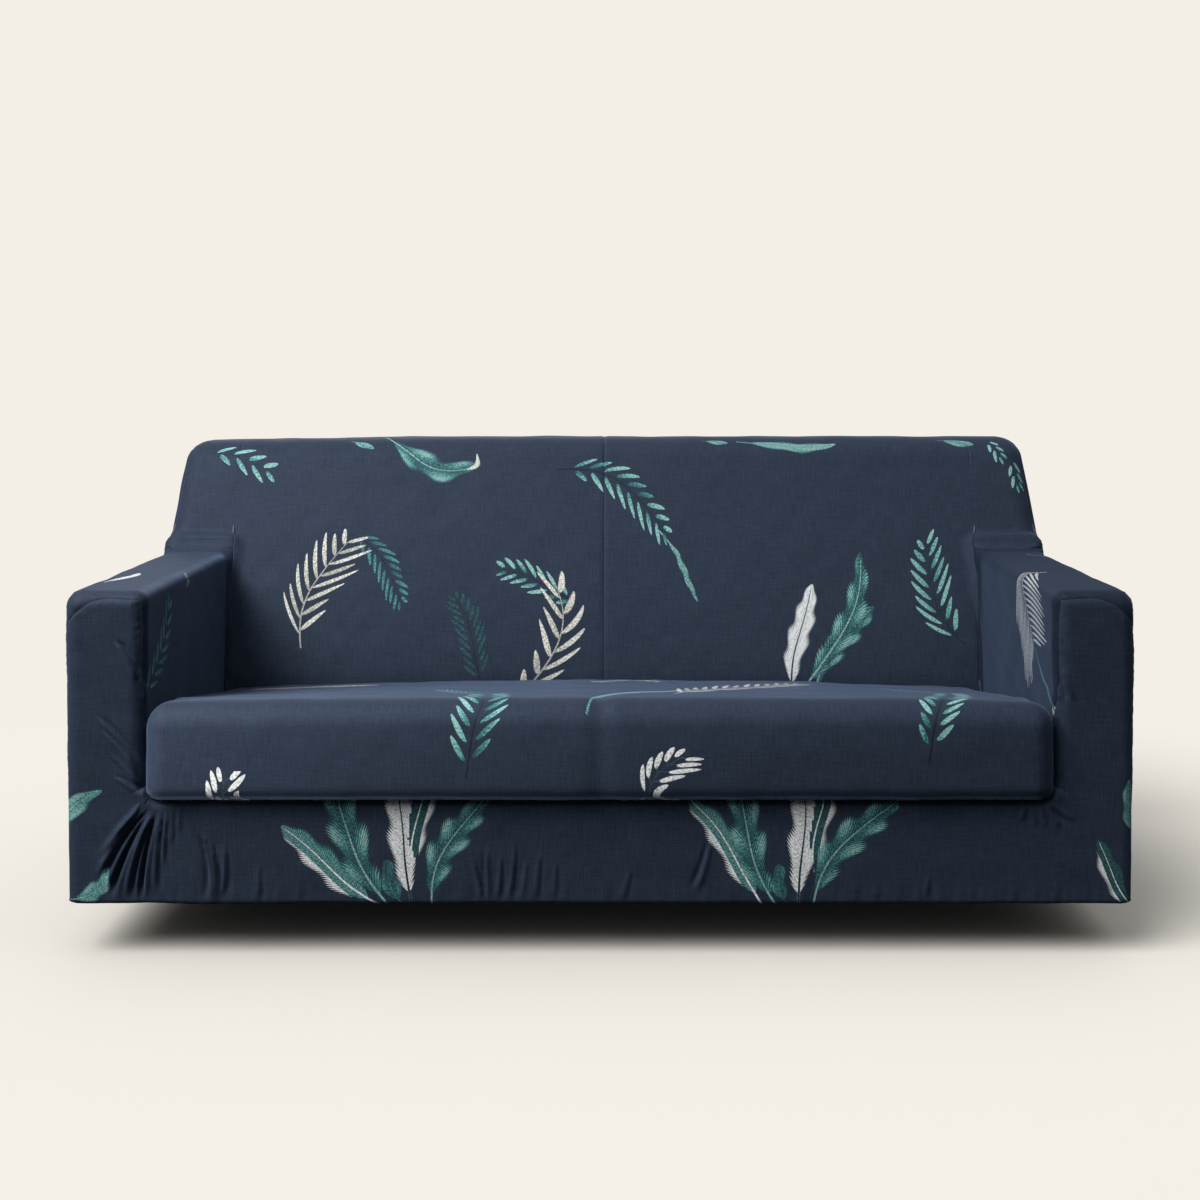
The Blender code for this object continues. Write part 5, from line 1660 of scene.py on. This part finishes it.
class SLIPCOVER_PG_stage(bpy.types.PropertyGroup):
    """Floor and light."""

    backdrop: colour_property("Backdrop", "#F3EFE6", "Plain floor and background")
    floor: number_property(
        "Floor",
        1.25,
        "Share of the light that the floor returns, to match the background",
        **FACTOR,
    )
    room: number_property("Room light", 0.62, "Strength of the soft light from straight above")
    sun: number_property("Window light", 1.85, "Strength of the even light from the upper left")
    key: number_property("Key light", 88, "Power of the lamp near the left arm", **POWER)
    rim: number_property(
        "Rim light", 20, "Power of the soft lamp behind, which edges the tops", **POWER
    )
    rear: number_property(
        "Rear light", 95, "Power of the soft lamp on the outside back, for rear views", **POWER
    )
    back: number_property(
        "Back light", 9, "Power of the soft lamp that reaches in to the foot of the back", **POWER
    )
    seat: number_property(
        "Seat light", 19, "Power of the soft lamp at the left end of the seat", **POWER
    )


class SLIPCOVER_OT_front(bpy.types.Operator):
    """Makes the front: both arm fronts, and the apron with its gathered hem."""

    bl_idname = "slipcover.front"
    bl_label = "Front panel"

    def execute(self, context):
        grids = [apron_grid()]
        for side in (LEFT, RIGHT):
            grids.append(np.concatenate([arm_foot_grid(side), arm_front_grid(side)[1:]]))
        cell = context.scene.slipcover_cloth.cell
        cloth_panel("front_panel_cloth", grids, cell)
        return {"FINISHED"}


class SLIPCOVER_OT_seat(bpy.types.Operator):
    """Makes the seat: over the two cushions, from the tuck to the crease at the back."""

    bl_idname = "slipcover.seat"
    bl_label = "Seat panel"

    def execute(self, context):
        cell = context.scene.slipcover_cloth.cell * SEAT_CELLS
        cloth_panel("seat_panel_cloth", [seat_grid()], cell)
        return {"FINISHED"}


class SLIPCOVER_OT_backs(bpy.types.Operator):
    """Makes both halves of the inside back, with the seam between them."""

    bl_idname = "slipcover.backs"
    bl_label = "Back panels"

    def execute(self, context):
        cell = context.scene.slipcover_cloth.cell * BACK_CELLS
        for name, side in (("back_panel_left", LEFT), ("back_panel_right", RIGHT)):
            cloth_panel(f"{name}_cloth", back_grids(side), cell)
        return {"FINISHED"}


class SLIPCOVER_OT_arms(bpy.types.Operator):
    """Makes both arms: inner face, top and outer side."""

    bl_idname = "slipcover.arms"
    bl_label = "Arm panels"

    def execute(self, context):
        cell = context.scene.slipcover_cloth.cell * ARM_CELLS
        for name, side in (("arm_panel_left", LEFT), ("arm_panel_right", RIGHT)):
            grids = [*arm_grids(side), end_flap_grid(side)]
            cloth_panel(f"{name}_cloth", grids, cell)
        return {"FINISHED"}


class SLIPCOVER_OT_rear(bpy.types.Operator):
    """Makes the outside back with its hem."""

    bl_idname = "slipcover.rear"
    bl_label = "Rear panel"

    def execute(self, context):
        cell = context.scene.slipcover_cloth.cell * REAR_CELLS
        cloth_panel("rear_panel_cloth", [rear_grid()], cell)
        return {"FINISHED"}


class SLIPCOVER_OT_stage(bpy.types.Operator):
    """Makes the floor, the lights and the camera."""

    bl_idname = "slipcover.stage"
    bl_label = "Stage"

    def execute(self, context):
        build_stage()
        return {"FINISHED"}


OPERATORS = (
    SLIPCOVER_OT_front,
    SLIPCOVER_OT_seat,
    SLIPCOVER_OT_backs,
    SLIPCOVER_OT_arms,
    SLIPCOVER_OT_rear,
    SLIPCOVER_OT_stage,
)


class SLIPCOVER_PT_panel(bpy.types.Panel):
    """Lists the sizes, the colours and the steps."""

    bl_idname = "SLIPCOVER_PT_panel"
    bl_label = "Slipcover"
    bl_space_type = "VIEW_3D"
    bl_region_type = "UI"
    bl_category = "Slipcover"

    def draw(self, context):
        for kind in GROUPS:
            column = self.layout.column()
            group = getattr(context.scene, kind)
            for name in group.bl_rna.properties.keys():
                if name not in ("rna_type", "name"):
                    column.prop(group, name)
        for operator in OPERATORS:
            self.layout.operator(operator.bl_idname)


GROUPS = {
    "slipcover_cloth": SLIPCOVER_PG_cloth,
    "slipcover_print": SLIPCOVER_PG_print,
    "slipcover_stage": SLIPCOVER_PG_stage,
}
CLASSES = (*GROUPS.values(), *OPERATORS, SLIPCOVER_PT_panel)


def register():
    for kind in CLASSES:
        bpy.utils.register_class(kind)
    for name, kind in GROUPS.items():
        setattr(bpy.types.Scene, name, bpy.props.PointerProperty(type=kind))


def unregister():
    for name in GROUPS:
        delattr(bpy.types.Scene, name)
    for kind in reversed(CLASSES):
        bpy.utils.unregister_class(kind)


def main():
    register()
    for operator in OPERATORS:
        group, name = operator.bl_idname.split(".")
        getattr(getattr(bpy.ops, group), name)()
    bpy.context.view_layer.update()
    boxes = {"cad": CAD_BOX, "visual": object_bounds()}
    for name, box in boxes.items():
        boxes[name] = [[float(part) for part in corner] for corner in box]


if __name__ == "__main__":
    main()
